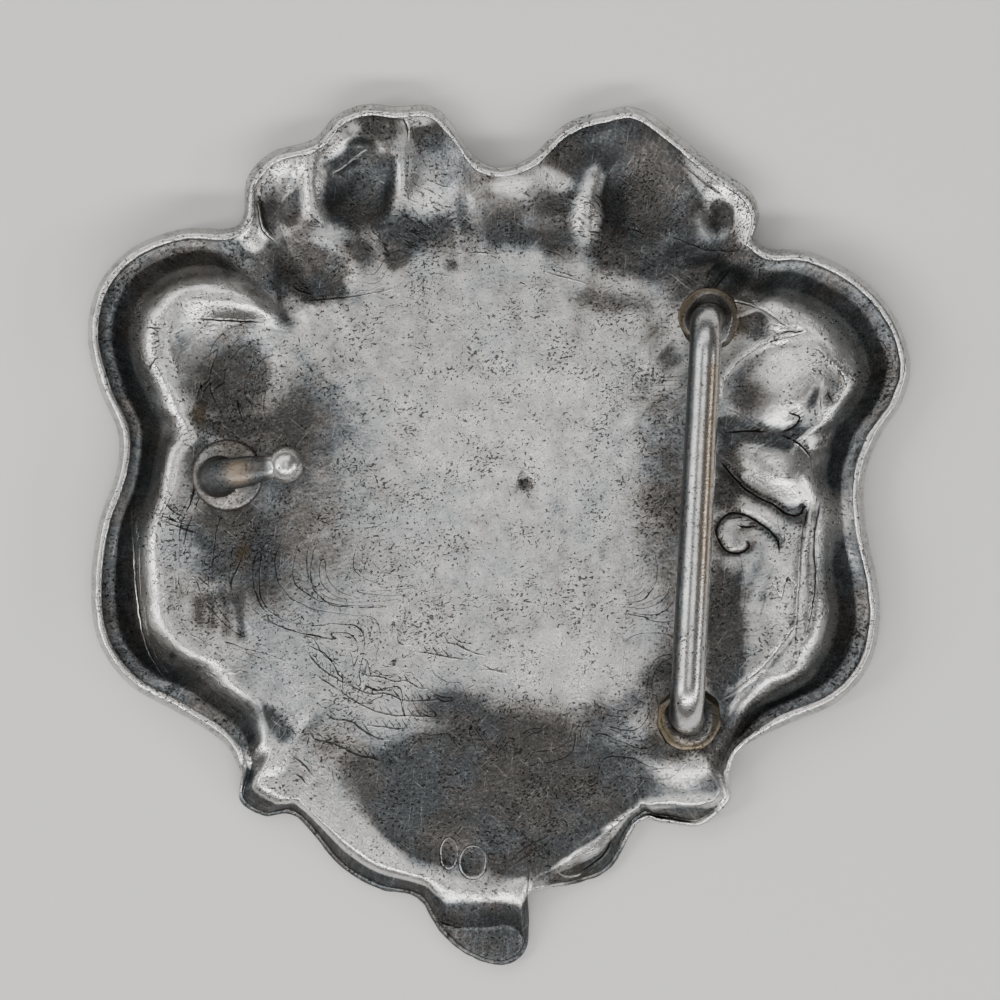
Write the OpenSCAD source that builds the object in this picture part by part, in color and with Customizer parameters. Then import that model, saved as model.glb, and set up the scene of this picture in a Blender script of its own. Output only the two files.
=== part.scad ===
// Belt buckle in pressed silver sheet, lying on its face.
// X runs across the belt, Y runs up the buckle and Z points out of its back.
// Z = 0 is the surface that the face lies on. All sizes are in millimetres.

/* [Plate] */
// Width of the buckle across its side lobes
plate_w = 72.6; // [60:0.2:90]
// Thickness of the silver sheet
sheet_t = 0.9; // [0.7:0.05:1.1]
// Height of the middle panel's crown above the surface
crown_z = 5; // [4.6:0.1:6]
// How far the panel falls from its crown to the flowers at the top
fall_top = 1.4; // [0.6:0.1:1.8]
// How far the panel falls from its crown to the leaves at the bottom
fall_bottom = 1.2; // [0.2:0.1:1.4]
// How far the panel falls from its crown to the side lobes
fall_side = 0.5; // [0.1:0.1:0.8]
// How far the lip stands in from the rim's widest line
lip_in = 0.45; // [0.2:0.05:0.6]

/* [Belt bar] */
// Diameter of the bar's wire
bar_wire = 2.9; // [2.2:0.1:3.4]
// Clear height between the panel's crown and the bar
belt_gap = 4.8; // [4.2:0.1:7]
// Radius of the bends at the bar's ends, to the middle of the wire
bar_bend = 3; // [2:0.1:4]
// How far each foot stands out past the bend above it
leg_spread = 0.9; // [0.4:0.1:1.6]
// Radius of the solder collar round each foot
collar_r = 2.8; // [2.2:0.1:3.2]
// Height of the solder collars
collar_h = 1.7; // [1:0.1:2.2]

/* [Hook] */
// Diameter of the hook's foot disc
foot_d = 6.3; // [5.4:0.1:6.8]
// Thickness of the foot disc
foot_t = 0.7; // [0.4:0.1:1]
// Diameter of the hook's stem where it bends
stem_d = 2.7; // [2:0.1:3]
// Diameter of the stem's waist behind the knob
waist_d = 2.1; // [1.6:0.1:2.4]
// Diameter of the knob at the hook's end
knob_d = 3.1; // [2.6:0.1:3.6]
// Length from the hook's root to the middle of its knob
hook_reach = 5.9; // [5.4:0.1:8]
// Height of the stem's middle above its foot
hook_rise = 4.7; // [4.2:0.1:6]
// Angle of the hook seen from above, 0 points along the belt
hook_turn = 9.5; // [-10:0.5:20]

/* [Hidden] */

round_fn = 48;
seat_gap = 0.02;

// Plate
// Rim sections, each cut square to the plate's edge. The columns are
// stand: 1 where the edge stands up as a lip, 0 where it lies flat
// lip z: height of the edge
// floor at, floor z: place and height of the lowest line behind the edge
// crest at, crest z: place and height of the line where the rim meets the panel
//         stand  lip z  floor at  floor z  crest at  crest z
LOBE    = [1.0,   4.5,   2.6,      0.9,     5.0,      4.4];
SIDE    = [1.0,   4.6,   2.1,      1.1,     4.1,      4.7];
CORNER  = [1.0,   4.0,   1.9,      2.0,     3.9,      3.9];
BEND    = [1.0,   4.0,   2.5,      1.5,     5.2,      4.2];
NOOK    = [0.9,   3.7,   1.6,      2.8,     3.0,      3.6];
PETAL   = [1.0,   3.4,   1.9,      2.5,     3.8,      3.2];
SADDLE  = [0.9,   3.4,   1.3,      2.9,     2.6,      3.5];
LEAF    = [0.2,   1.2,   0.8,      1.2,     3.0,      3.8];
SPREAD  = [0.6,   2.4,   1.2,      1.9,     2.8,      3.7];
DROP    = [0.4,   1.7,   1.2,      1.2,     3.4,      3.7];
TIP     = [0.6,   1.9,   1.7,      1.1,     6.6,      3.7];

// Outline of the plate, clockwise from the left flower, one row for each turn of the edge
//   x      y     section
OUTLINE = [
    [-11.8, 38.0, PETAL],
    [-9.0, 37.8, PETAL],
    [-6.3, 37.9, PETAL],
    [-4.5, 36.7, PETAL],
    [-2.4, 33.8, SADDLE],
    [-0.2, 32.6, SADDLE],
    [2.6, 33.4, SADDLE],
    [5.8, 36.2, PETAL],
    [9.3, 37.4, PETAL],
    [12.9, 37.4, PETAL],
    [19.0, 32.6, PETAL],
    [22.1, 30.4, PETAL],
    [23.1, 28.4, NOOK],
    [22.7, 26.4, NOOK],
    [23.9, 25.3, CORNER],
    [27.5, 25.0, LOBE],
    [31.7, 22.9, LOBE],
    [34.8, 19.6, LOBE],
    [36.3, 15.4, LOBE],
    [35.6, 11.9, LOBE],
    [33.5, 8.6, SIDE],
    [32.2, 4.9, SIDE],
    [32.4, 0.5, SIDE],
    [33.4, -4.1, LOBE],
    [33.6, -7.9, LOBE],
    [32.5, -11.8, LOBE],
    [29.7, -14.8, LOBE],
    [25.0, -16.9, BEND],
    [21.6, -19.1, BEND],
    [20.6, -21.3, NOOK],
    [20.6, -23.6, SPREAD],
    [18.0, -25.9, SPREAD],
    [14.6, -25.7, SPREAD],
    [12.5, -25.7, SPREAD],
    [10.0, -29.6, LEAF],
    [6.8, -31.0, LEAF],
    [3.2, -31.5, LEAF],
    [2.6, -32.2, LEAF],
    [2.7, -34.7, DROP],
    [2.3, -37.2, TIP],
    [0.1, -38.3, TIP],
    [-3.0, -37.3, TIP],
    [-5.4, -35.2, DROP],
    [-7.3, -32.3, LEAF],
    [-10.8, -31.4, LEAF],
    [-14.3, -29.3, LEAF],
    [-18.0, -25.1, LEAF],
    [-20.9, -25.0, LEAF],
    [-23.1, -23.5, LEAF],
    [-23.2, -20.6, NOOK],
    [-24.4, -18.2, NOOK],
    [-28.2, -15.7, CORNER],
    [-32.6, -13.2, LOBE],
    [-35.3, -9.5, LOBE],
    [-36.0, -4.8, LOBE],
    [-35.4, 0.7, SIDE],
    [-33.8, 5.5, SIDE],
    [-33.6, 9.0, SIDE],
    [-35.3, 13.1, LOBE],
    [-36.3, 17.6, LOBE],
    [-35.4, 22.0, LOBE],
    [-32.5, 25.3, LOBE],
    [-28.2, 27.0, LOBE],
    [-24.0, 27.1, CORNER],
    [-22.7, 28.2, NOOK],
    [-22.2, 31.5, PETAL],
    [-20.0, 33.8, PETAL],
    [-16.4, 34.9, PETAL],
    [-14.4, 37.0, PETAL],
];

// Hollows and swellings of the back, the embossed flowers and leaves seen from behind
//   x      y     half w  half h  turn   rise
RELIEF = [
    [-12.2, 30.9, 4.6,    4.8,    0,     -2.6], // left flower's heart
    [-19.6, 29.4, 2.0,    4.2,    -12,   -1.3], // left flower's outer petal
    [-6.2,  32.2, 2.6,    4.2,    10,    -0.7], // left flower's inner petal
    [12.4,  29.9, 4.9,    5.2,    0,     -2.6], // right flower's heart
    [8.0,   29.0, 1.7,    3.8,    -12,   0.9],  // petal fold beside it
    [20.2,  28.4, 2.2,    3.2,    20,    -0.9], // right flower's outer petal
    [18.8,  23.6, 4.8,    3.0,    -10,   -1.1], // hollow above the upper foot
    [-16.4, 23.4, 4.4,    3.4,    -30,   -1.2], // hollow below the left flower
    [-22.6, 20.2, 4.8,    1.9,    -4,    0.5],  // roll above the dish
    [-23.2, 14.8, 5.0,    5.2,    0,     -0.7], // dish of the upper left lobe
    [25.4,  12.9, 5.8,    4.2,    40,    1.0],  // upper leaf
    [24.6,  5.6,  5.0,    3.2,    -30,   0.9],  // lower leaf
    [26.2,  -12.6, 4.6,   1.8,    28,    0.7],  // roll of the lower right lobe
    [-20.6, -19.6, 2.4,   2.2,    0,     0.5],  // knot where the lower left channel ends
    [8.6,   -27.6, 4.4,   1.5,    32,    -0.6], // hollow of the bottom leaf
];

// Places on the plate, the bar's feet and the middle of the hook's foot
upper_foot = [18.5, 19.1, 3.8];
lower_foot = [16.7, -16.0, 4.4];
hook_foot = [-23.85, 5.3, 4.6];
PADS = [upper_foot, lower_foot, hook_foot];
pad_flat_r = 4.1;
pad_blend_r = 6.6;

outline_w = 72.6;
spread = plate_w / outline_w;
stations_per_row = 2;
smooth_reach = 5;
aim_scale = 0.7;
min_slant = 0.65;

wall_steps = [0, 0.3, 0.6, 0.8, 1];
ramp_steps = [0.22, 0.4, 0.58, 0.78, 1];
panel_steps = [0.05, 0.12, 0.2, 0.29, 0.38, 0.48, 0.62, 0.8];
crest_blend = 5;
front_crest_shift = 1.2;
relief_fade = 2.2;
bulge = 1.55 * lip_in;
wall_round = 1.3;
spoke_bend = 0.35;

// The panel's crown, and how far from it the falls above are measured
crown_y = -2;
top_reach = 26;
bottom_reach = 24;
side_reach = 22;

function mix(a, b, t) = a * (1 - t) + b * t;
function ease(t) = t <= 0 ? 0 : t >= 1 ? 1 : t * t * (3 - 2 * t);
function wrap(list, i) = list[(i + 4 * len(list)) % len(list)];
function flat(p) = [p[0], p[1]];

// Smooth closed curve through the outline's rows, with the rim's section carried along
function curve(a, b, c, d, t) =
    (b * 2 + (c - a) * t + (a * 2 - b * 5 + c * 4 - d) * t * t + (b * 3 - a - c * 3 + d) * t * t * t) / 2;
EDGE = [for (i = [0:len(OUTLINE) - 1], k = [0:stations_per_row - 1])
    let (t = k / stations_per_row)
    curve(flat(wrap(OUTLINE, i - 1)), flat(OUTLINE[i]),
        flat(wrap(OUTLINE, i + 1)), flat(wrap(OUTLINE, i + 2)), t) * spread];
SECTION = [for (i = [0:len(OUTLINE) - 1], k = [0:stations_per_row - 1])
    mix(OUTLINE[i][2], wrap(OUTLINE, i + 1)[2], ease(k / stations_per_row))];
count = len(EDGE);

// Each station's spoke starts at the edge and aims at a smoothed, smaller outline
function smoothed(i) =
    let (near = [for (k = [-smooth_reach:smooth_reach]) wrap(EDGE, i + k)])
    [for (axis = [0, 1]) [for (p = near) p[axis]] * [for (p = near) 1] / len(near)];
function unit(v) = v / norm(v);
function inward(i) =
    let (along = unit(wrap(EDGE, i + 1) - wrap(EDGE, i - 1)))
    [along[1], -along[0]];
SPOKE = [for (i = [0:count - 1]) unit(smoothed(i) * aim_scale - EDGE[i])];
SLANT = [for (i = [0:count - 1]) max(min_slant, SPOKE[i] * inward(i))];

function dome(p) =
    let (y = p[1] - crown_y)
    crown_z - fall_side * pow(p[0] / side_reach, 2)
        - (y > 0 ? fall_top * pow(y / top_reach, 2) : fall_bottom * pow(y / bottom_reach, 2));
function swell(p, row) =
    let (dx = p[0] - row[0], dy = p[1] - row[1],
        u = (dx * cos(row[4]) + dy * sin(row[4])) / row[2],
        v = (dy * cos(row[4]) - dx * sin(row[4])) / row[3],
        q = u * u + v * v)
    q >= 1 ? 0 : row[5] * (1 - q) * (1 - q);
RISES = [for (row = RELIEF) 1];
function relief(p) = [for (row = RELIEF) swell(p / spread, row)] * RISES;
function on_pads(p, z, i = 0) =
    i == len(PADS) ? z
    : let (away = norm(p / spread - flat(PADS[i])),
        t = ease((away - pad_flat_r) / (pad_blend_r - pad_flat_r)))
    on_pads(p, mix(PADS[i][2], z, t), i + 1);

// side is 0 for the back skin and 1 for the face, which lies one sheet lower
function spot(i, inset) = EDGE[i] + SPOKE[i] * inset / SLANT[i];
function raised(p, z, inset) = max(sheet_t, z + relief(p) * ease(inset / relief_fade));

// Rows of one skin along a spoke: lip, outer wall, channel floor, ramp, crest and panel
function wall_point(i, t, side) =
    let (s = SECTION[i],
        start = s[0] * (lip_in + sheet_t * (1 - side)),
        round = pow(1 - cos(90 * t), wall_round),
        inset = mix(start, s[2], round) - pow(s[0], 4) * bulge * sin(180 * t),
        p = spot(i, inset),
        drop = side * sheet_t * mix(1 - s[0], 1, sin(90 * t)))
    [p[0], p[1], raised(p, mix(s[1], s[3], sin(90 * t)), t == 0 ? 0 : inset) - drop];
function ramp_point(i, t, side) =
    let (s = SECTION[i],
        inset = mix(s[2], s[4] + side * front_crest_shift * s[0], t),
        p = spot(i, inset),
        z = raised(p, mix(s[3], s[5], (1 - cos(180 * t)) / 2), inset))
    [p[0], p[1], mix(z, on_pads(p, z), t) - side * sheet_t];
function panel_point(i, t, side) =
    let (s = SECTION[i],
        crest = flat(ramp_point(i, 1, side)),
        bend = crest + SPOKE[i] * norm(crest) * spoke_bend,
        p = crest * (1 - t) * (1 - t) + bend * 2 * t * (1 - t),
        z = mix(s[5], dome(p), ease(norm(p - crest) / crest_blend)))
    [p[0], p[1], on_pads(p, max(sheet_t, z + relief(p))) - side * sheet_t];
function skin(side) = [
    for (t = wall_steps) [for (i = [0:count - 1]) wall_point(i, t, side)],
    for (t = ramp_steps) [for (i = [0:count - 1]) ramp_point(i, t, side)],
    for (t = panel_steps) [for (i = [0:count - 1]) panel_point(i, t, side)],
];
rings = len(wall_steps) + len(ramp_steps) + len(panel_steps);
skin_size = rings * count + 1;
function place(side, ring, i) = side * skin_size + ring * count + i % count;
function skin_points(side) = concat(
    [for (ring = skin(side), p = ring) p],
    [[0, 0, dome([0, 0]) - side * sheet_t]]);

module plate() {
    points = concat(skin_points(0), skin_points(1));
    faces = [
        for (i = [0:count - 1], r = [0:rings - 2])
            each [
                [place(0, r, i), place(0, r, i + 1), place(0, r + 1, i + 1)],
                [place(0, r, i), place(0, r + 1, i + 1), place(0, r + 1, i)],
                [place(1, r, i), place(1, r + 1, i + 1), place(1, r, i + 1)],
                [place(1, r, i), place(1, r + 1, i), place(1, r + 1, i + 1)],
            ],
        for (i = [0:count - 1])
            each [
                [place(0, rings - 1, i), place(0, rings - 1, i + 1), skin_size - 1],
                [place(1, rings - 1, i + 1), place(1, rings - 1, i), 2 * skin_size - 1],
                [place(0, 0, i), place(1, 0, i), place(1, 0, i + 1)],
                [place(0, 0, i), place(1, 0, i + 1), place(0, 0, i + 1)],
            ],
    ];
    color("silver") polyhedron(points, faces);
}

// Fillet of solder or metal round a wire. The columns are the way out from the wire to the rim,
// and the height, both as shares
FILLET = [[1, 0], [1, 0.16], [0.45, 0.38], [0.18, 0.65], [0.07, 1]];
module fillet(wire_r, rim_r, height) {
    rotate_extrude($fn = round_fn)
        polygon([[0, 0], for (row = FILLET) [mix(wire_r, rim_r, row[0]), row[1] * height], [0, height]]);
}

// Belt bar
bar_z = crown_z + belt_gap + bar_wire / 2;
foot_line = flat(upper_foot - lower_foot);
foot_span = norm(foot_line) * spread;
foot_mid = flat(upper_foot + lower_foot) / 2 * spread;
top_half = foot_span / 2 - leg_spread;
bend_x = top_half - bar_bend;
// The wire swells a little where it is bent, and the straight stretches run this far into the bends
bend_wire = bar_wire + 0.08;
into_bend = 0.2;
// The leg's wire ends this far above the foot, inside the solder
leg_end = 0.5;

// One bent end of the bar, from the bend to the solder, drawn in the XZ plane
module bar_end(foot_z) {
    base_z = foot_z + seat_gap;
    lean = atan2(leg_spread, bar_z - base_z - bar_bend);
    sweep = 90 - lean;
    leg_top = [bend_x + bar_bend * sin(sweep), 0, bar_z - bar_bend + bar_bend * cos(sweep)];
    leg_foot = [leg_top[0] + (leg_top[2] - base_z) * tan(lean), 0, base_z];
    leg_length = norm(leg_top - leg_foot) + into_bend - leg_end;
    translate([bend_x, 0, bar_z - bar_bend]) rotate([90, 0, 0]) rotate([0, 0, 90 - sweep])
        rotate_extrude(angle = sweep, $fn = round_fn)
            translate([bar_bend, 0]) circle(d = bend_wire, $fn = round_fn);
    translate(leg_top) rotate([0, 180 - lean, 0]) translate([0, 0, -into_bend])
        cylinder(d = bar_wire, h = leg_length, $fn = round_fn);
    translate(leg_foot) fillet(bar_wire / 2, collar_r, collar_h);
}

module belt_bar() {
    color("tan") translate([foot_mid[0], foot_mid[1], 0])
        rotate([0, 0, atan2(foot_line[1], foot_line[0])]) {
            translate([-bend_x - into_bend, 0, bar_z]) rotate([0, 90, 0])
                cylinder(d = bar_wire, h = 2 * (bend_x + into_bend), $fn = round_fn);
            bar_end(upper_foot[2]);
            mirror([1, 0, 0]) bar_end(lower_foot[2]);
        }
}

// Hook
hook_bend = 2.2;
root_r = 2.3;
root_h = 2.2;
root_back = 0.75;

module hook() {
    color("gainsboro")
        translate([hook_foot[0] * spread, hook_foot[1] * spread, hook_foot[2] + seat_gap])
        rotate([0, 0, hook_turn]) {
            cylinder(d = foot_d, h = foot_t, $fn = round_fn);
            translate([-root_back, 0, 0]) {
                fillet(stem_d / 2, root_r, root_h);
                cylinder(d = stem_d, h = hook_rise - hook_bend, $fn = round_fn);
                translate([hook_bend, 0, hook_rise - hook_bend]) rotate([90, 0, 0]) rotate([0, 0, 90])
                    rotate_extrude(angle = 90, $fn = round_fn)
                        translate([hook_bend, 0]) circle(d = stem_d, $fn = round_fn);
                translate([hook_bend, 0, hook_rise]) rotate([0, 90, 0])
                    cylinder(d1 = stem_d, d2 = waist_d, h = hook_reach - hook_bend, $fn = round_fn);
                translate([hook_reach, 0, hook_rise]) sphere(d = knob_d, $fn = round_fn);
            }
        }
}

plate();
belt_bar();
hook();
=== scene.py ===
# %% [markdown]
# # A pressed silver belt buckle, seen from its back
# The buckle lies on its face. Its plate is one sheet of silver that was pressed into a scalloped frame,
# two flowers and some leaves, so its back shows every form inside out. A bent wire bar for the belt and
# a stud hook are soldered to it. The construction comes in as a fixed frame of three solids, and each of
# them gets a finer skin here, because the real surface is alive with folds, scratches and tarnish.

import math

import bpy
import numpy as np
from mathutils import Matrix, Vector, noise


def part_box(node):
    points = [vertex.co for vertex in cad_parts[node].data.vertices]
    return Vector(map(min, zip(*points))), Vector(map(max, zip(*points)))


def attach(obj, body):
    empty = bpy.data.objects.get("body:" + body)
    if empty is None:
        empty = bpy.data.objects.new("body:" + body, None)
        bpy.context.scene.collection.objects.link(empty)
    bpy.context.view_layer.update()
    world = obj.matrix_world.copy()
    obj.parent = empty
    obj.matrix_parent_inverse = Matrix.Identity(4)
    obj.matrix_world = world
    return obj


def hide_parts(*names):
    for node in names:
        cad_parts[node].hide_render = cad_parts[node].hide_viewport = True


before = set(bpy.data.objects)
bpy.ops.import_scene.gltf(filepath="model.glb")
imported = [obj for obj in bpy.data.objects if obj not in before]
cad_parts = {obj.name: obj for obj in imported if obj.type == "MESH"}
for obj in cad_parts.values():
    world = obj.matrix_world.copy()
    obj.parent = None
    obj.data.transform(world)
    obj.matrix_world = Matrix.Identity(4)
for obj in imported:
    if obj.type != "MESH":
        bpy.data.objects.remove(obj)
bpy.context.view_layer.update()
MM = 0.001
plate_low, plate_high = (np.array(corner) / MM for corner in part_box("plate"))
print("plate box in mm", plate_low.round(2), plate_high.round(2))

# %% [markdown]
# ## The plate's outline
# A pressed plate has no straight line in it, so its edge is drawn as a closed curve through one point for
# each turn. Every point also says which section the rim has there. Between two points both the place and
# the section are blended, which is how a die cutter files one form into the next. The solid underneath is
# drawn through the same points, so the fine skin fits it without any measuring. The sections are finer here.

# %% Sections of the rim
# How upright the wall is (0 lies flat, 1 stands), height of the lip, inset and height of the channel's floor,
# inset and height of the crest, and roundness of the shoulder from 0 to 1. Insets and heights are in mm.
LOBE = (1.0, 4.5, 2.0, 1.0, 6.4, 4.5, 0.5)
SIDE = (1.0, 4.6, 1.8, 1.3, 5.2, 4.7, 0.5)
WAIST = (1.0, 4.5, 1.9, 2.3, 5.0, 4.5, 0.5)
CORNER = (1.0, 4.0, 1.9, 2.0, 4.8, 4.0, 0.3)
RUN_OUT = (1.0, 4.0, 1.9, 2.0, 6.6, 3.0, 0.3)
LOW_LOBE = (1.0, 4.3, 1.9, 1.2, 5.6, 4.4, 0.5)
BEND = (1.0, 4.0, 1.7, 1.9, 4.6, 4.3, 0.5)
HEEL = (0.7, 3.7, 1.2, 3.5, 2.6, 4.0, 0.4)
NOOK = (0.9, 3.7, 1.5, 2.7, 3.2, 3.7, 0.4)
THIN_NOOK = (0.5, 3.3, 0.9, 3.3, 2.2, 3.7, 0.5)
FADING_NOOK = (0.9, 3.7, 1.6, 2.4, 4.8, 2.9, 0.3)
PETAL = (1.0, 3.4, 1.7, 2.75, 3.8, 2.85, 0.4)
SADDLE = (0.9, 3.4, 1.3, 3.1, 2.6, 3.5, 0.4)
LEAF = (0.2, 1.2, 0.6, 1.25, 3.3, 3.6, 0.9)
BUD = (0.2, 1.4, 0.6, 1.5, 3.0, 3.7, 1.0)
NECK = (0.2, 2.9, 0.4, 3.0, 1.6, 3.5, 0.6)
RIGHT_LEAF = (0.4, 2.0, 0.9, 1.9, 3.2, 3.7, 0.8)
DROP = (0.3, 1.4, 0.7, 1.7, 3.0, 3.5, 1.0)

# %% Points of the outline
# x and y from the middle of the buckle in mm, and the section there
OUTLINE = [
    (-11.8, 38.0, PETAL), (-9.0, 37.8, PETAL), (-6.3, 37.9, PETAL), (-4.5, 36.7, PETAL),
    (-2.4, 33.8, SADDLE), (-0.2, 32.6, SADDLE), (2.6, 33.4, SADDLE), (5.8, 36.2, PETAL),
    (9.3, 37.4, PETAL), (12.9, 37.4, PETAL), (19.0, 32.6, PETAL), (22.1, 30.4, PETAL),
    (23.1, 28.4, FADING_NOOK), (22.7, 26.4, FADING_NOOK), (23.9, 25.3, RUN_OUT), (27.5, 25.0, LOBE),
    (31.7, 22.9, LOBE), (34.8, 19.6, LOBE), (36.3, 15.4, LOBE), (35.6, 11.9, LOBE),
    (33.5, 8.6, SIDE), (32.2, 4.9, WAIST), (32.4, 0.5, WAIST), (33.4, -4.1, LOBE),
    (33.6, -7.9, LOBE), (32.5, -11.8, LOBE), (29.7, -14.8, LOW_LOBE), (25.0, -16.9, BEND),
    (21.6, -19.1, HEEL), (20.6, -21.3, THIN_NOOK), (20.6, -23.6, THIN_NOOK), (18.0, -25.9, RIGHT_LEAF),
    (14.6, -25.7, RIGHT_LEAF), (12.5, -25.7, RIGHT_LEAF), (10.0, -29.6, LEAF), (6.8, -31.0, LEAF),
    (3.2, -31.5, NECK), (2.6, -32.2, NECK), (2.7, -34.7, DROP), (2.3, -37.2, DROP),
    (0.1, -38.3, DROP), (-3.0, -37.3, DROP), (-5.4, -35.2, DROP), (-7.3, -32.3, LEAF),
    (-10.8, -31.4, LEAF), (-14.3, -29.3, LEAF), (-18.0, -25.1, LEAF), (-20.9, -25.0, BUD),
    (-23.1, -23.5, BUD), (-23.2, -20.6, NOOK), (-24.4, -18.2, CORNER), (-28.2, -15.7, CORNER),
    (-32.6, -13.2, LOBE), (-35.3, -9.5, LOBE), (-36.0, -4.8, LOBE), (-35.4, 0.7, SIDE),
    (-33.8, 5.5, SIDE), (-33.6, 9.0, SIDE), (-35.3, 13.1, LOBE), (-36.3, 17.6, LOBE),
    (-35.4, 22.0, LOBE), (-32.5, 25.3, LOBE), (-28.2, 27.0, LOBE), (-24.0, 27.1, RUN_OUT),
    (-22.7, 28.2, FADING_NOOK), (-22.2, 31.5, PETAL), (-20.0, 33.8, PETAL), (-16.4, 34.9, PETAL),
    (-14.4, 37.0, PETAL),
]
OUTLINE_W = 72.6
drawn_to_frame = (plate_high[0] - plate_low[0]) / OUTLINE_W
print(len(OUTLINE), "points in the outline, drawn at", round(drawn_to_frame, 4), "of their size")

# %% Helpers to blend and to draw a smooth curve


def ease(t):
    """Soft step from 0 to 1."""
    t = np.clip(t, 0, 1)
    return t * t * (3 - 2 * t)


def mix(a, b, t):
    return a * (1 - t) + b * t


def through(points, per_row, closed):
    """Smooth curve through points, with per_row places from each point to the next."""
    points = np.array(points, float)
    if closed:
        a, b, c, d = (np.roll(points, 1 - k, axis=0) for k in range(4))
    else:
        ends = np.vstack([2 * points[0] - points[1], points, 2 * points[-1] - points[-2]])
        a, b, c, d = (ends[k:len(ends) - 3 + k] for k in range(4))
    t = (np.arange(per_row) / per_row)[None, :, None]
    a, b, c, d = (row[:, None, :] for row in (a, b, c, d))
    square = a * 2 - b * 5 + c * 4 - d
    cube = b * 3 - a - c * 3 + d
    curve = (b * 2 + (c - a) * t + square * t**2 + cube * t**3) / 2
    curve = curve.reshape(-1, points.shape[1])
    return curve if closed else np.vstack([curve, points[-1]])


def ring_mean(values, reach, axis=0):
    """Mean of each place on a closed ring and its neighbours, up to reach places away."""
    return sum(np.roll(values, k, axis=axis) for k in range(-reach, reach + 1)) / (2 * reach + 1)


# %% Walk round the outline
STATIONS_PER_ROW = 9
BLEND_REACH = 4
edge = through([row[:2] for row in OUTLINE], STATIONS_PER_ROW, True) * drawn_to_frame
stations = len(edge)
rows = np.array([row[2] for row in OUTLINE])
blend = np.tile(ease(np.arange(STATIONS_PER_ROW) / STATIONS_PER_ROW), len(rows))[:, None]
from_row = rows.repeat(STATIONS_PER_ROW, axis=0)
to_row = np.roll(rows, -1, axis=0).repeat(STATIONS_PER_ROW, axis=0)
section = ring_mean(mix(from_row, to_row, blend), BLEND_REACH)
print(stations, "stations round the edge")

# %% [markdown]
# ## From the edge to the middle
# A mesh that follows the rim needs lines that run from the edge inwards. Lines square to a scalloped edge
# would cross in the hollows, so each one aims at a smoothed and smaller copy of the outline instead.
# Then the lip, the channel and the panel are only steps along a line, and each step is one closed ring.

# %% Spokes
SMOOTH_ROWS = 2.5
AIM_SCALE = 0.7
MIN_SLANT = 0.65


def unit(v):
    return v / np.linalg.norm(v, axis=-1, keepdims=True)


smoothed = ring_mean(edge, round(SMOOTH_ROWS * STATIONS_PER_ROW))
spoke = unit(smoothed * AIM_SCALE - edge)
along = unit(np.roll(edge, -1, axis=0) - np.roll(edge, 1, axis=0))
square_in = np.stack([along[:, 1], -along[:, 0]], 1)
# A spoke isn't square to the edge. Its slant turns an inset square to the edge into a way along the spoke.
slant = np.maximum(MIN_SLANT, (spoke * square_in).sum(1))
print("shallowest station has a slant of", round(float(slant.min()), 2))

# %% The panel's dome
SHEET = 0.9
CROWN_Z = 5
CROWN_Y = -2
# How far the panel falls in mm, and at what distance from its crown
SIDE_FALL = (0.5, 22)
TOP_FALL = (1.4, 26)
BOTTOM_FALL = (1.2, 24)


def lost_height(way, fall):
    """Height lost at a distance from the crown."""
    return fall[0] * (way / fall[1]) ** 2


def dome(p):
    """Height of the plain panel at the places p."""
    y = p[..., 1] - CROWN_Y
    down = np.where(y > 0, lost_height(y, TOP_FALL), lost_height(y, BOTTOM_FALL))
    return CROWN_Z - lost_height(p[..., 0], SIDE_FALL) - down


# %% Embossed forms


def inside(p, x, y, half_w, half_h, turn):
    """0 in the middle of a turned ellipse, 1 on its edge and more outside."""
    c, s = math.cos(math.radians(turn)), math.sin(math.radians(turn))
    dx, dy = p[..., 0] / drawn_to_frame - x, p[..., 1] / drawn_to_frame - y
    return ((dx * c + dy * s) / half_w) ** 2 + ((dy * c - dx * s) / half_h) ** 2


def swells(p, table):
    """Sum of soft bumps. The rows of a table are x, y, half width, half height, turn and rise."""
    total = np.zeros(p.shape[:-1])
    for x, y, half_w, half_h, turn, rise in table:
        total += rise * np.clip(1 - inside(p, x, y, half_w, half_h, turn), 0, 1) ** 2
    return total


# x, y, half width, half height, turn in degrees and rise
RELIEF = [
    (-12.2, 30.9, 4.8, 5.0, 0, -1.75),  # left flower's heart
    (-19.4, 29.4, 2.7, 4.6, -12, -1.0),  # left flower's outer petal
    (-6.2, 32.2, 2.8, 4.2, 10, -0.7),  # left flower's inner petal
    (12.4, 29.9, 5.0, 5.4, 0, -1.75),  # right flower's heart
    (8.0, 29.0, 1.9, 4.2, -12, 0.6),  # petal fold beside it
    (20.0, 28.4, 2.6, 3.4, 20, -0.8),  # right flower's outer petal
    (18.8, 23.6, 4.8, 3.0, -10, -1.1),  # hollow above the bar's upper foot
    (-16.4, 23.4, 4.4, 3.4, -30, -1.2),  # hollow below the left flower
    (-22.6, 20.2, 4.8, 1.9, -4, 0.5),  # roll above the dish
    (-23.2, 14.8, 5.0, 5.2, 0, -0.7),  # dish of the upper left lobe
    (25.4, 12.9, 5.8, 4.2, 40, 1.0),  # upper leaf
    (24.6, 5.6, 5.0, 3.2, -30, 0.9),  # lower leaf
    (24.8, -13.3, 4.6, 1.7, 28, 0.6),  # roll of the lower right lobe
    (-20.6, -19.6, 2.4, 2.2, 0, 0.4),  # knot where the lower left channel ends
    (8.6, -27.6, 4.4, 1.5, 32, -0.6),  # hollow of the bottom leaf
]

# %% Flat seats for the solder
# x, y and height, for the bar's upper and lower foot and for the hook's foot
SEATS = [(18.5, 19.1, 3.8), (16.7, -16.0, 4.4), (-23.85, 5.3, 4.6)]
SEAT_FLAT = 4.1
SEAT_END = 6.6


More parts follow.
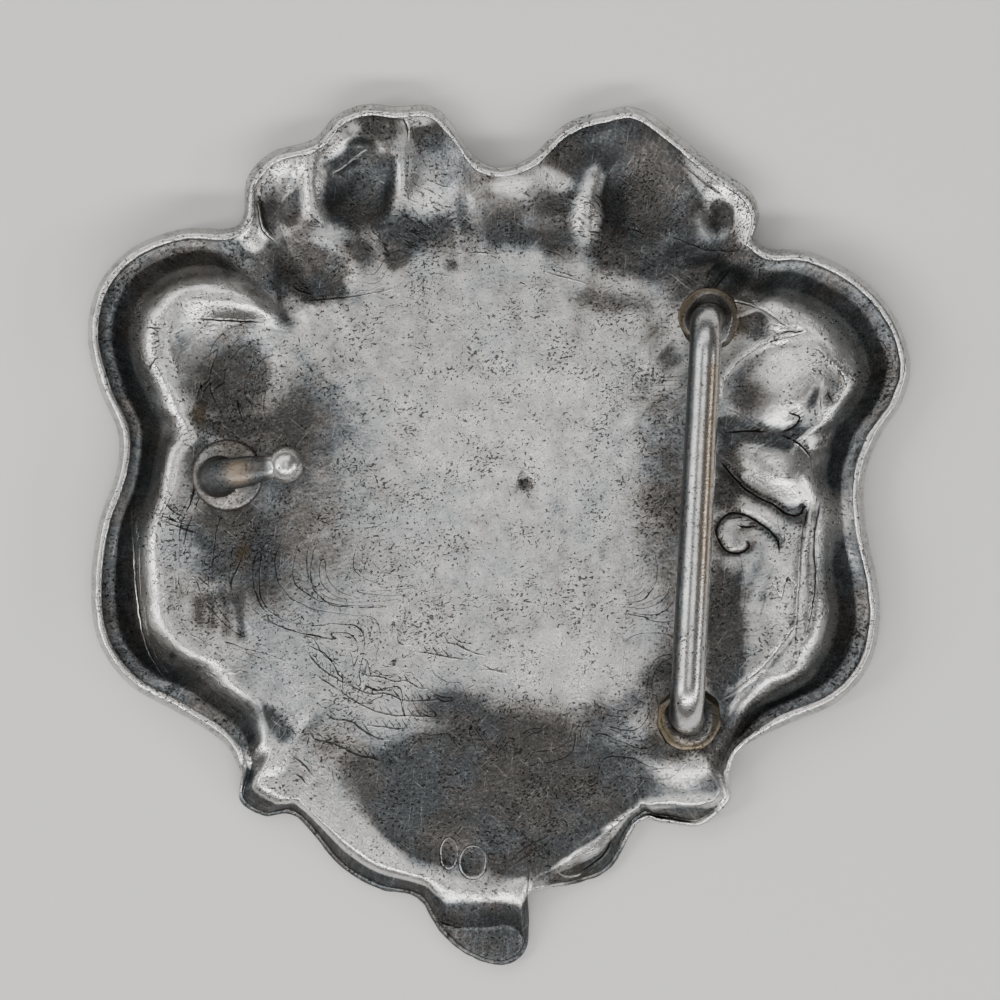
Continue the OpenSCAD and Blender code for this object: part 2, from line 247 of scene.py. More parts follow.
def on_seats(p, z):
    """Levels the height z off near the seats."""
    for x, y, seat_z in SEATS:
        away = np.hypot(p[..., 0] / drawn_to_frame - x, p[..., 1] / drawn_to_frame - y)
        z = mix(seat_z, z, ease((away - SEAT_FLAT) / (SEAT_END - SEAT_FLAT)))
    return z


print(len(RELIEF), "embossed forms and", len(SEATS), "seats")

# %% [markdown]
# ## Folds and creases
# The press left crisp lines where one leaf lies over another, and the metal wrinkled as it flowed.
# Each line is a short row of points. The distance of every mesh point to the line gives a
# ridge, a groove or a step, which fades at the line's ends, so no line stops dead. The signed distance
# is kept as an attribute too, because it stays sharp between mesh points, and the finish uses it to cut
# lines finer than the mesh.

# %% Folds of the leaves and flowers
# Name, form, width, rise and points, in mm. A step is raised on its right as the points run.
FOLDS = [
    ("upper leaf's left rim", "ridge", 0.3, 0.22,
     [(19.4, 11.9), (19.6, 13.2), (20.5, 14.7), (21.4, 15.6), (22.7, 16.5), (24.0, 17.1), (25.1, 17.4),
      (26.0, 17.6), (27.0, 17.9)]),
    ("slit over the upper leaf", "groove", 0.22, -0.3,
     [(24.6, 17.6), (25.4, 17.9), (26.2, 17.9), (27.1, 18.1)]),
    ("rim of the bud", "ridge", 0.25, 0.15,
     [(20.1, 20.5), (20.8, 20.6), (21.9, 20.4), (23.1, 19.8), (24.7, 18.7), (25.7, 18.1)]),
    ("upper leaf's fold", "ridge", 0.25, 0.12, [(27.5, 16.8), (28.8, 15.6), (30.3, 14.0), (30.5, 12.9)]),
    ("upper leaf's curl", "groove", 0.2, -0.28,
     [(25.3, 11.3), (25.4, 10.9), (25.9, 10.6), (26.3, 10.5), (26.4, 10.1), (25.9, 9.5), (25.3, 9.2),
      (24.5, 8.8)]),
    ("tip's curl", "groove", 0.18, -0.08, [(28.8, 13.0), (29.0, 12.2), (29.5, 11.7), (30.0, 12.2)]),
    ("tip's fold", "ridge", 0.2, 0.2, [(28.5, 13.7), (28.3, 12.1), (28.4, 10.5)]),
    ("tip's edge", "groove", 0.6, -0.2, [(28.5, 13.6), (28.0, 12.5), (27.5, 11.6), (27.0, 10.7)]),
    ("upper leaf's lower rim", "ridge", 0.2, 0.12, [(19.8, 11.4), (21.4, 10.5), (22.7, 9.6), (23.3, 9.2)]),
    ("seam between the leaves", "groove", 0.25, -0.2, [(19.7, 9.0), (22.1, 9.2), (23.8, 9.0)]),
    ("lower leaf's upper rim", "groove", 0.22, -0.16, [(24.5, 8.9), (25.8, 8.4), (26.9, 7.5), (27.5, 6.6)]),
    ("lower leaf's lower rim", "groove", 0.3, -0.38,
     [(19.3, 6.6), (20.5, 5.3), (21.4, 4.3), (22.7, 3.4), (24.0, 2.8), (25.1, 2.0), (26.0, 1.7), (26.7, 2.0),
      (26.8, 2.4), (27.5, 2.9)]),
    ("tendril", "groove", 0.2, -0.26,
     [(24.6, -1.8), (24.6, -0.7), (24.0, 0.2), (23.1, 0.9), (22.1, 1.6), (21.0, 1.9), (20.1, 1.8),
      (19.4, 1.2), (19.1, 0.3), (19.4, -0.7), (20.0, -1.4), (20.9, -1.6), (21.8, -1.3), (22.0, -0.8),
      (21.6, -0.5), (21.3, -0.7)]),
    ("tendril's heart", "groove", 0.16, -0.16, [(20.9, 0.9), (21.6, 0.7), (22.6, 0.8)]),
    ("lobe's crease", "groove", 0.16, -0.06,
     [(27.5, 3.1), (27.0, 1.4), (26.6, -0.4), (26.4, -4.3), (26.2, -7.0), (26.1, -9.8), (26.0, -11.0)]),
    ("lobe's outer crease", "groove", 0.2, -0.07,
     [(28.2, 3.1), (27.7, -0.4), (27.8, -3.6), (27.5, -6.6), (26.9, -9.4)]),
    ("shoulder of the roll", "step", 0.3, 0.35,
     [(26.5, -7.6), (25.4, -9.0), (23.5, -11.4), (22.1, -12.6), (20.7, -13.8), (19.6, -14.5)]),
    ("roll above the dish", "ridge", 1.5, 0.15,
     [(-29.2, 16.8), (-28.8, 18.6), (-27.3, 20.4), (-24.8, 21.3), (-22.2, 20.6), (-20.2, 19.4),
      (-18.1, 18.1)]),
    ("line under the roll", "groove", 0.2, -0.08,
     [(-20.9, 18.8), (-22.8, 18.9), (-24.3, 19.0), (-26.8, 19.0)]),
    ("dish's left ridge", "ridge", 0.6, 0.18,
     [(-29.1, 19.1), (-29.0, 18.0), (-29.0, 16.8), (-28.5, 15.4), (-28.1, 14.0), (-27.8, 13.2)]),
    ("left heart's fold", "ridge", 0.3, 0.3,
     [(-15.0, 31.8), (-14.0, 32.5), (-13.0, 33.2), (-12.6, 33.4), (-12.0, 33.9), (-11.4, 34.1)]),
    ("outer petal's rim", "ridge", 0.35, 0.3, [(-21.3, 29.5), (-21.1, 27.8), (-20.6, 26.6), (-19.6, 25.8)]),
    ("petal's ridge", "ridge", 1.0, 0.35,
     [(-17.5, 34.8), (-16.8, 33.8), (-16.5, 31.6), (-16.2, 29.2), (-15.2, 27.1)]),
    ("fold at the left notch", "step", 0.45, 0.2, [(-8.6, 37.2), (-8.2, 36.4), (-8.0, 35.6), (-8.1, 34.6)]),
    ("right heart's crescent", "step", 0.9, 0.24,
     [(8.6, 32.5), (9.3, 31.8), (9.8, 30.8), (10.3, 29.5), (10.4, 28.4), (9.8, 27.3), (8.9, 26.5)]),
    ("bottom leaf's groove", "groove", 0.3, -0.2, [(10.0, -26.4), (9.4, -27.9), (8.1, -29.1), (6.8, -29.9)]),
    ("bottom leaf's rim", "ridge", 0.25, 0.2, [(4.9, -29.5), (5.8, -30.1), (6.7, -30.1), (7.6, -29.7)]),
    ("right leaf's groove", "groove", 0.3, -0.3,
     [(12.1, -25.3), (12.8, -25.0), (14.1, -24.9), (15.8, -25.4), (17.6, -25.6)]),
    ("pit in the panel", "groove", 0.55, -0.35, [(1.5, 4.9), (2.4, 4.6), (3.3, 4.2)]),
    ("drop's dent", "groove", 0.2, -0.2, [(-5.4, -34.0), (-4.8, -34.3), (-4.0, -34.4)]),
    ("line in the left channel", "ridge", 0.35, 0.05,
     [(-32.5, 2.7), (-32.2, -1.0), (-32.0, -4.5), (-31.5, -8.2), (-30.8, -10.6), (-29.3, -13.0)]),
]

# %% Wrinkles, soft bands and file marks
# Wrinkles where the sheet flowed, all the same light grooves
WRINKLES = [
    [(-16.4, -8.9), (-15.6, -10.3), (-14.7, -11.0), (-13.9, -11.7)],
    [(-17.0, -10.1), (-16.2, -11.2), (-14.6, -12.4), (-13.1, -13.2), (-11.4, -13.9), (-9.9, -13.9),
     (-8.4, -14.5), (-6.8, -14.5), (-5.1, -14.4)],
    [(-16.4, -12.1), (-15.0, -13.0), (-13.1, -14.3), (-11.2, -15.3), (-9.3, -15.8), (-7.7, -15.8),
     (-5.8, -16.0)],
    [(-12.8, -11.8), (-11.6, -12.3), (-10.4, -12.4), (-9.3, -12.8), (-8.1, -12.8), (-7.0, -13.4),
     (-5.8, -13.5)],
    [(-15.6, -15.2), (-14.6, -16.1), (-13.1, -16.3), (-12.0, -17.1), (-10.8, -17.8), (-9.3, -18.0)],
    [(-12.0, -16.7), (-10.4, -16.8), (-9.1, -17.0), (-7.4, -16.9)],
    [(-16.9, -17.1), (-16.2, -17.9), (-14.6, -18.3), (-12.7, -19.2), (-11.2, -19.6), (-10.0, -20.0)],
    [(-7.9, -10.2), (-6.2, -10.3), (-4.3, -10.7), (-2.4, -11.0)],
    [(-5.5, -9.3), (-4.0, -9.5), (-2.6, -10.2), (-0.9, -10.6)],
    [(-2.0, -11.8), (-0.5, -11.8), (1.0, -12.2)],
    [(-18.7, -19.1), (-17.5, -19.9), (-16.2, -21.5)],
    [(-18.2, -20.9), (-17.5, -21.3), (-16.9, -22.1)],
    [(-30.5, 2.0), (-28.8, 1.4), (-26.9, 0.7)],
    [(-30.1, 1.5), (-28.1, 0.7), (-26.1, 0.0)],
    [(-29.7, 3.1), (-28.6, 2.1), (-27.5, 1.5)],
    [(-31.0, 18.3), (-30.3, 18.2), (-29.6, 18.3)],
    [(-30.8, 17.7), (-30.2, 17.7), (-29.6, 17.6)],
    [(-30.6, 16.9), (-30.0, 17.1), (-29.5, 17.2)],
    [(-30.7, 16.4), (-30.1, 16.6), (-29.5, 16.9)],
    [(-30.9, 14.4), (-30.3, 15.3), (-29.6, 16.1)],
    [(-26.7, 12.0), (-26.4, 12.8), (-25.4, 13.9)],
    [(-26.2, 12.0), (-25.9, 12.8), (-24.9, 13.8)],
    [(-25.3, 12.7), (-24.0, 13.6)],
]
WRINKLE_WIDTH = 0.12
WRINKLE_DEPTH = -0.07

# Soft bands that the rolling sheet made beside the left rim
BANDS = [
    [(-26.6, -4.8), (-26.3, -6.4), (-26.4, -8.4)],
    [(-25.5, -4.4), (-25.2, -6.4), (-25.2, -8.8)],
    [(-24.4, -4.0), (-24.0, -6.3), (-23.9, -9.4)],
    [(-23.3, -4.2), (-22.8, -6.6), (-22.6, -9.8)],
    [(22.0, -1.8), (21.2, -3.6), (21.0, -6.0)],
    [(23.1, -1.8), (22.3, -3.8), (22.0, -6.4)],
    [(24.2, -2.4), (23.4, -4.2), (23.0, -6.6)],
]
BAND_WIDTH = 0.55
BAND_DEPTH = -0.16

# File marks beside the bar
FILE_MARKS = [
    [(11.4, 14.6), (13.2, 14.7), (15.3, 14.6)],
    [(10.8, 14.1), (12.6, 14.1), (14.0, 14.0)],
    [(13.4, 13.9), (15.2, 13.9), (16.6, 14.1)],
    [(10.8, 13.5), (13.6, 13.6), (16.4, 13.6)],
    [(12.0, 13.1), (14.1, 13.2), (16.6, 13.1)],
    [(10.2, 12.7), (12.3, 12.8), (14.0, 12.7)],
    [(13.0, 12.2), (14.8, 12.4), (16.5, 12.2)],
    [(11.4, 11.8), (13.2, 11.9), (15.4, 11.7)],
]
FILE_DEPTH = -0.03

# %% Scratches
# Long scratches, too fine for the mesh
SCRATCHES = [
    [(-17.2, 20.6), (-14.9, 20.8), (-12.2, 21.1), (-8.6, 21.9)],
    [(-18.4, 22.0), (-17.5, 21.5), (-16.3, 21.1)],
    [(-3.4, 24.9), (-1.7, 24.9), (-0.1, 24.7)],
    [(-17.2, 28.8), (-15.4, 27.1)],
    [(-17.0, 27.3), (-15.3, 27.1)],
    [(11.4, 27.1), (13.0, 26.5)],
    [(14.8, 26.4), (16.8, 25.7), (18.7, 25.1), (21.7, 25.2)],
    [(3.5, 23.3), (6.1, 22.6), (8.3, 22.0)],
    [(3.7, 23.6), (5.5, 23.1), (7.1, 22.5)],
    [(3.2, 25.2), (4.7, 24.9), (6.0, 24.3)],
    [(0.3, -29.3), (2.3, -27.6), (4.9, -26.1)],
    [(0.6, -29.5), (3.1, -27.8), (4.4, -26.7)],
    [(2.7, -28.5), (4.9, -26.5)],
    [(-30.1, -6.1), (-29.6, -5.5), (-29.0, -5.0)],
    [(-26.7, -3.5), (-25.3, -4.7)],
    [(27.4, 16.5), (28.8, 15.4), (30.3, 14.1)],
    [(-17.9, -13.9), (-17.1, -13.5)],
    [(-6.3, 31.5), (-5.2, 30.9), (-4.1, 30.7)],
    [(19.4, -14.6), (21.6, -12.8)],
    [(14.2, 20.5), (13.8, 19.8)],
]
SCRATCH_WIDTH = 0.07
SCRATCH_DEPTH = -0.05
print(len(FOLDS), "folds,", len(WRINKLES), "wrinkles and", len(SCRATCHES), "scratches")

# %% Two blank punches and an old patch of solder
# x, y, half width and half height. Nothing is stamped inside them.
PUNCHES = [(-4.4, -28.0, 0.8, 1.4), (-2.3, -28.8, 1.2, 1.45)]
OVAL_TURN = 420
OVAL_STEP = 30


def oval(x, y, half_w, half_h):
    """Points a little more than once round an oval, so that its faded ends overlap."""
    turns = np.radians(np.arange(0, OVAL_TURN, OVAL_STEP))
    return [(x + half_w * math.cos(a), y + half_h * math.sin(a)) for a in turns]


# Edge of the patch beside the bar's lower foot
OLD_SOLDER = [
    (16.4, -14.5), (15.3, -14.6), (14.5, -15.3), (14.0, -16.2), (14.3, -17.4), (14.9, -18.3), (15.9, -18.4),
    (16.8, -17.9),
]
OLD_SOLDER_WIDTH = 0.2
OLD_SOLDER_RISE = 0.08

# %% Distance to a line
LINE_PIECES = 5
TAPER = 1.1


def beside(p, points, taper):
    """Signed distance of the places p to a smooth line, and the line's strength there.

    The distance is positive on the right. The strength is 1 along the line and fades to 0 at its ends.
    """
    line = through(points, LINE_PIECES, False) * drawn_to_frame
    start, step = line[:-1], np.diff(line, axis=0)
    length = np.hypot(*step.T)
    before = np.concatenate([[0], np.cumsum(length)])
    best = np.full(len(p), np.inf)
    signed, strength = np.zeros(len(p)), np.zeros(len(p))
    taper = min(taper, before[-1] / 3)
    for k in range(len(step)):
        off = p - start[k]
        t = np.clip(off @ step[k] / length[k] ** 2, 0, 1)
        gap = off - t[:, None] * step[k]
        away = np.hypot(*gap.T)
        near = away < best
        side = np.sign(step[k][1] * off[:, 0] - step[k][0] * off[:, 1])
        done = before[k] + t * length[k]
        best = np.where(near, away, best)
        signed = np.where(near, away * side, signed)
        strength = np.where(near, ease(done / taper) * ease((before[-1] - done) / taper), strength)
    return signed, strength


# %% Section of a fold
STEP_REACH = 2.6
STEP_FOOT = 0.35


def fold_height(form, width, rise, signed, strength):
    """Height that a fold adds at a signed distance. A step has a shallow groove along its foot."""
    if form == "step":
        raised = (1 + np.tanh(signed / width)) / 2 * np.exp(-np.clip(signed, 0, None) / STEP_REACH)
        return rise * strength * (raised - np.exp(-((signed + width) / width) ** 2) * STEP_FOOT)
    return rise * strength * np.exp(-((signed / width) ** 2))


# %% [markdown]
# ## The skin of the plate
# The back and the face are two skins, one sheet apart. Both are built ring by ring: over the round lip,
# down the outer wall, across the channel's floor, up the ramp and over the panel. The face is hidden on the
# table, so it keeps the plain pressed form. The back gets the folds and a little unevenness, because
# a pressed panel is never a perfect dome and its reflections wander.

# %% The crest behind the bottom leaves
BOTTOM_Y = -22.6
BOTTOM_FADE = 1.8
SLOPE_WIDTH = 3.4
NARROWEST_SLOPE = 1.6
CREST_PIECES = 12
stand, lip_z, floor_at, floor_z, crest_at, crest_z, shoulder = section.T

# This crest runs straight behind the leaves and the drop instead of following the edge
BOTTOM_CREST = [
    (-25.0, -19.6), (-22.4, -20.8), (-19.6, -22.4), (-16.7, -24.3), (-14.6, -25.9), (-12.5, -27.5),
    (-10.4, -28.8), (-5.7, -30.2), (-0.6, -31.2), (3.6, -29.7), (8.6, -26.8), (11.4, -24.4), (14.0, -23.4),
    (18.8, -23.3), (21.6, -21.8),
]
crest_line = through(BOTTOM_CREST, CREST_PIECES, False) * drawn_to_frame
off = crest_line[None] - edge[:, None]
forward = (off * spoke[:, None]).sum(-1)
aside = np.abs(off[..., 0] * spoke[:, None, 1] - off[..., 1] * spoke[:, None, 0])
crossing = np.where(forward < 0, np.inf, aside).argmin(1)
to_crest = forward[np.arange(stations), crossing] * slant
at_bottom = ease((BOTTOM_Y - edge[:, 1]) / BOTTOM_FADE)
crest_at = mix(crest_at, np.maximum(to_crest, NARROWEST_SLOPE), at_bottom)
floor_at = mix(floor_at, np.maximum(floor_at, crest_at - SLOPE_WIDTH), at_bottom)
crest_at, floor_at = ((np.roll(v, 1) + 2 * v + np.roll(v, -1)) / 4 for v in (crest_at, floor_at))
print("widest slope behind the leaves", round(float(crest_at[at_bottom == 1].max()), 2))

# %% Places and heights
SOFT_FLOOR = 0.16


def spot(inset):
    """Place on every spoke at an inset square to the edge."""
    return edge + spoke * (inset / slant)[:, None]


def above_table(z):
    """Never lower than the sheet's own thickness, with a soft turn instead of a kink."""
    return SHEET + SOFT_FLOOR * np.logaddexp(0, (z - SHEET) / SOFT_FLOOR)


def raised(p, z, fade):
    """The height z with the embossed forms on it."""
    return above_table(z + swells(p, RELIEF) * fade)


# %% Rings over the lip
LIP_IN = 0.45
LIP_T = 0.6
LIP_FLAT = 0.8
LIP_WEAR = 0.12
LIP_WEAR_SIZE = 0.9
LIP_WEAR_TURN = 40
LIP_ANGLES = (12, 30, 55, 90, 125, 150, 168)

# Both ends of the cut edge, as (inset, z), and the half circle that rounds it
cut_back = np.stack([stand * (LIP_IN + LIP_T), lip_z], 1)
cut_face = np.stack([stand * LIP_IN, lip_z - SHEET * (1 - stand)], 1)
half_cut = (cut_back - cut_face) / 2
outward = np.stack([-half_cut[:, 1], half_cut[:, 0]], 1)


def lip_ring(angle):
    """One ring over the lip, from the back at 0 degrees to the face at 180, a little fuller than round."""
    a = math.radians(angle)
    across = math.copysign(abs(math.cos(a)) ** LIP_FLAT, math.cos(a))
    inset, z = ((cut_back + cut_face) / 2 - outward + half_cut * across + outward * math.sin(a) ** LIP_FLAT).T
    dents = [noise.noise(Vector((x, y, angle / LIP_WEAR_TURN))) for x, y in edge / LIP_WEAR_SIZE]
    worn = LIP_WEAR * math.sin(a) * np.array(dents)
    return spot(inset + worn), z - np.abs(worn)


lip = [lip_ring(angle) for angle in LIP_ANGLES]
print(len(lip), "rings over the lip")

# %% Rings of the wall
BULGE = 1.55 * LIP_IN
WALL_ROUND = 1.3
STEEP_STAND = 0.6
RELIEF_FADE = 2.2
RELIEF_GAIN = 3


def wall_ring(t, side):
    """One ring of the outer wall. Side is 0 for the back and 1 for the face."""
    a = math.radians(90 * t)
    start = stand * (LIP_IN + LIP_T * (1 - side)) - outward[:, 0]
    inset = mix(start, floor_at, (1 - math.cos(a)) ** WALL_ROUND) - stand**4 * BULGE * math.sin(2 * a)
    p = spot(inset)
    thickness = side * SHEET * mix(1 - stand, 1, math.sin(a))
    fall = mix((1 - math.cos(a)) ** WALL_ROUND, math.sin(a), np.minimum(stand / STEEP_STAND, 1))
    fade = ease(inset / RELIEF_FADE) * ease(t * RELIEF_GAIN)
    return p, raised(p, mix(lip_z - outward[:, 1], floor_z, fall), fade) - thickness


# %% Rings of the ramp
FACE_CREST_SHIFT = 1.2


def ramp_rise(t):
    """Share of the ramp's height at a share of its width. A round shoulder has a steep foot."""
    return mix((1 - math.cos(math.pi * t)) / 2, math.sin(math.pi / 2 * t), shoulder)


def ramp_ring(t, side):
    """One ring of the ramp from the channel's floor to the crest."""
    inset = mix(floor_at, crest_at + side * FACE_CREST_SHIFT * stand, t)
    p = spot(inset)
    z = raised(p, mix(floor_z, crest_z, ramp_rise(t)), ease(inset / RELIEF_FADE))
    return p, mix(z, on_seats(p, z), t) - side * SHEET


# %% Rings of the panel
CREST_BLEND = 5
SPOKE_BEND = 0.35


def panel_ring(t, side):
    """One ring of the panel, from the crest at 0 towards the middle at 1."""
    crest = ramp_ring(1, side)[0]
    bend = crest + spoke * np.linalg.norm(crest, axis=1, keepdims=True) * SPOKE_BEND
    p = crest * (1 - t) ** 2 + bend * 2 * t * (1 - t)
    z = mix(crest_z, dome(p), ease(np.linalg.norm(p - crest, axis=1) / CREST_BLEND))
    return p, on_seats(p, above_table(z + swells(p, RELIEF))) - side * SHEET


# %% All rings of the back and the face
BACK_WALL = 16
BACK_RAMP = 22
BACK_PANEL = 74
BACK_END = 0.92
FACE_WALL = 6
FACE_RAMP = 6
FACE_PANEL = 10
FACE_END = 0.85
PANEL_CROWD = 1.2


def steps(count, crowd=1.0, last=1.0):
    """Even steps from just above 0 to last, crowded towards 0 by a power over 1."""
    return last * (np.arange(1, count + 1) / count) ** crowd


def skin_rings(side, wall_count, ramp_count, panel_count, end):
    """Rings of one side of the plate. The panel's last ring ends at a share of the way to the middle."""
    rings = [wall_ring(t, side) for t in [0, *steps(wall_count)]]
    rings += [ramp_ring(t, side) for t in steps(ramp_count)]
    return rings + [panel_ring(t, side) for t in steps(panel_count, PANEL_CROWD, end)]


def joined(rings):
    """The places and the heights of all rings, one after another."""
    return np.array([p for p, _ in rings]).reshape(-1, 2), np.array([z for _, z in rings]).reshape(-1)


back = skin_rings(0, BACK_WALL, BACK_RAMP, BACK_PANEL, BACK_END)
face = skin_rings(1, FACE_WALL, FACE_RAMP, FACE_PANEL, FACE_END)
back_p, back_z = joined(back)
wall_rings = BACK_WALL + 1
ring_number = np.repeat(np.arange(len(back)), stations)
on_wall = ring_number < wall_rings
print(len(back), "rings on the back,", len(face), "on the face")

# %% Finer forms and unevenness of the back
# x, y, half width, half height, turn in degrees and rise
FINE_RELIEF = [
    (-23.2, 15.2, 4.0, 4.0, 0, -0.25),  # dish
    (26.0, 12.4, 5.2, 4.0, 40, 0.35),  # upper leaf
    (24.4, 5.4, 4.2, 2.8, -28, 0.4),  # lower leaf
    (22.6, 19.4, 3.6, 1.6, -20, 0.25),  # bud
    (22.5, -0.4, 2.6, 2.6, 0, -0.2),  # inside the tendril
    (12.2, 29.8, 3.0, 3.4, 0, 0.35),  # right heart's middle
    (9.3, 34.0, 3.4, 1.9, 20, -0.5),  # pocket above the right heart
    (17.6, 31.2, 3.4, 1.6, -40, 0.3),  # slope right of it
    (-12.2, 34.2, 1.8, 1.2, 0, -0.5),  # pocket above the left heart
    (-9.0, 30.4, 1.4, 3.6, -12, 0.45),  # flank right of the left heart
    (-28.0, 22.2, 3.0, 2.2, 35, 0.3),  # shoulder of the upper left lobe
    (25.0, -5.0, 3.0, 6.5, 4, 0.3),  # pale band of the right lobe
    (21.0, -12.0, 2.4, 3.4, -35, -0.3),  # hollow beside the roll
]
UNEVEN = 0.045
UNEVEN_SIZE = 7.0
FINE_UNEVEN = 0.012
FINE_SIZE = 1.6
UNEVEN_SLICE = 0.37


def uneven(p, size):
    """Soft noise from -1 to 1 at the places p."""
    return np.array([noise.noise(Vector((x / size, y / size, UNEVEN_SLICE))) for x, y in p])


# The wall stays as it was pressed
quiet = np.where(on_wall, 0.0, 1.0)
back_z = back_z + quiet * swells(back_p, FINE_RELIEF)
back_z = back_z + quiet * (UNEVEN * uneven(back_p, UNEVEN_SIZE) + FINE_UNEVEN * uneven(back_p, FINE_SIZE))
print("the back is uneven by", UNEVEN, "mm")

# %% Sink the punches and gather all lines
PUNCH_DEPTH = 0.2
PUNCH_RIM = 0.12
PUNCH_SOFTNESS = 0.5
for x, y, half_w, half_h in PUNCHES:
    back_z = back_z - PUNCH_DEPTH * ease((1 - inside(back_p, x, y, half_w, half_h, 0)) / PUNCH_SOFTNESS)

# Points, form, width, rise, and the number that picks a channel of attributes
marks = [(oval(*row), "ridge", SCRATCH_WIDTH, PUNCH_RIM, number) for number, row in enumerate(PUNCHES)]
marks += [(points, form, width, rise, number) for number, (_, form, width, rise, points) in enumerate(FOLDS)]
marks += [(OLD_SOLDER, "ridge", OLD_SOLDER_WIDTH, OLD_SOLDER_RISE, 0)]
marks += [(points, "groove", WRINKLE_WIDTH, WRINKLE_DEPTH, number) for number, points in enumerate(WRINKLES)]
marks += [(points, "groove", BAND_WIDTH, BAND_DEPTH, 0) for points in BANDS]
marks += [(points, "groove", SCRATCH_WIDTH, FILE_DEPTH, number) for number, points in enumerate(FILE_MARKS)]
marks += [(points, "groove", SCRATCH_WIDTH, SCRATCH_DEPTH, number) for number, points in enumerate(SCRATCHES)]
print(len(marks), "lines to engrave")

# %% Engrave the lines
# Lines wider than the first are shaped in the mesh, and lines up to the second are drawn by the finish too
FINEST_SHAPED = 0.15
WIDEST_DRAWN = 0.5
MESH_WIDTH = 0.32
LINE_LIMIT = 0.12
LINE_REACH = 0.5
LINE_FADE = 0.2
CHANNELS = ("a", "b", "c")
lines = {}
for channel in CHANNELS:
    lines["away_" + channel] = np.full(len(back_p), LINE_REACH)
    lines["depth_" + channel] = np.zeros(len(back_p))


def engrave(points, form, width, rise, channel):
    """Writes a line into a channel of attributes, and returns the height that it adds to the mesh."""
    signed, strength = beside(back_p, points, max(TAPER, 2 * width))
    if width <= WIDEST_DRAWN:
        away, depth = lines["away_" + channel], lines["depth_" + channel]
        nearer = np.abs(signed) < np.abs(away)
        within = ease((LINE_REACH - np.abs(signed)) / LINE_FADE)
        sunk = np.clip(rise, -LINE_LIMIT, LINE_LIMIT) * strength * within
        away[nearer] = signed[nearer]
        depth[nearer] = sunk[nearer]
    if width <= FINEST_SHAPED:
        return 0
    return fold_height(form, max(width, MESH_WIDTH), rise, signed, strength)


for points, form, width, rise, number in marks:
    back_z = back_z + engrave(points, form, width, rise, CHANNELS[number % len(CHANNELS)])
print("line attributes reach", int(sum((lines["depth_" + c] != 0).sum() for c in CHANNELS)), "points")
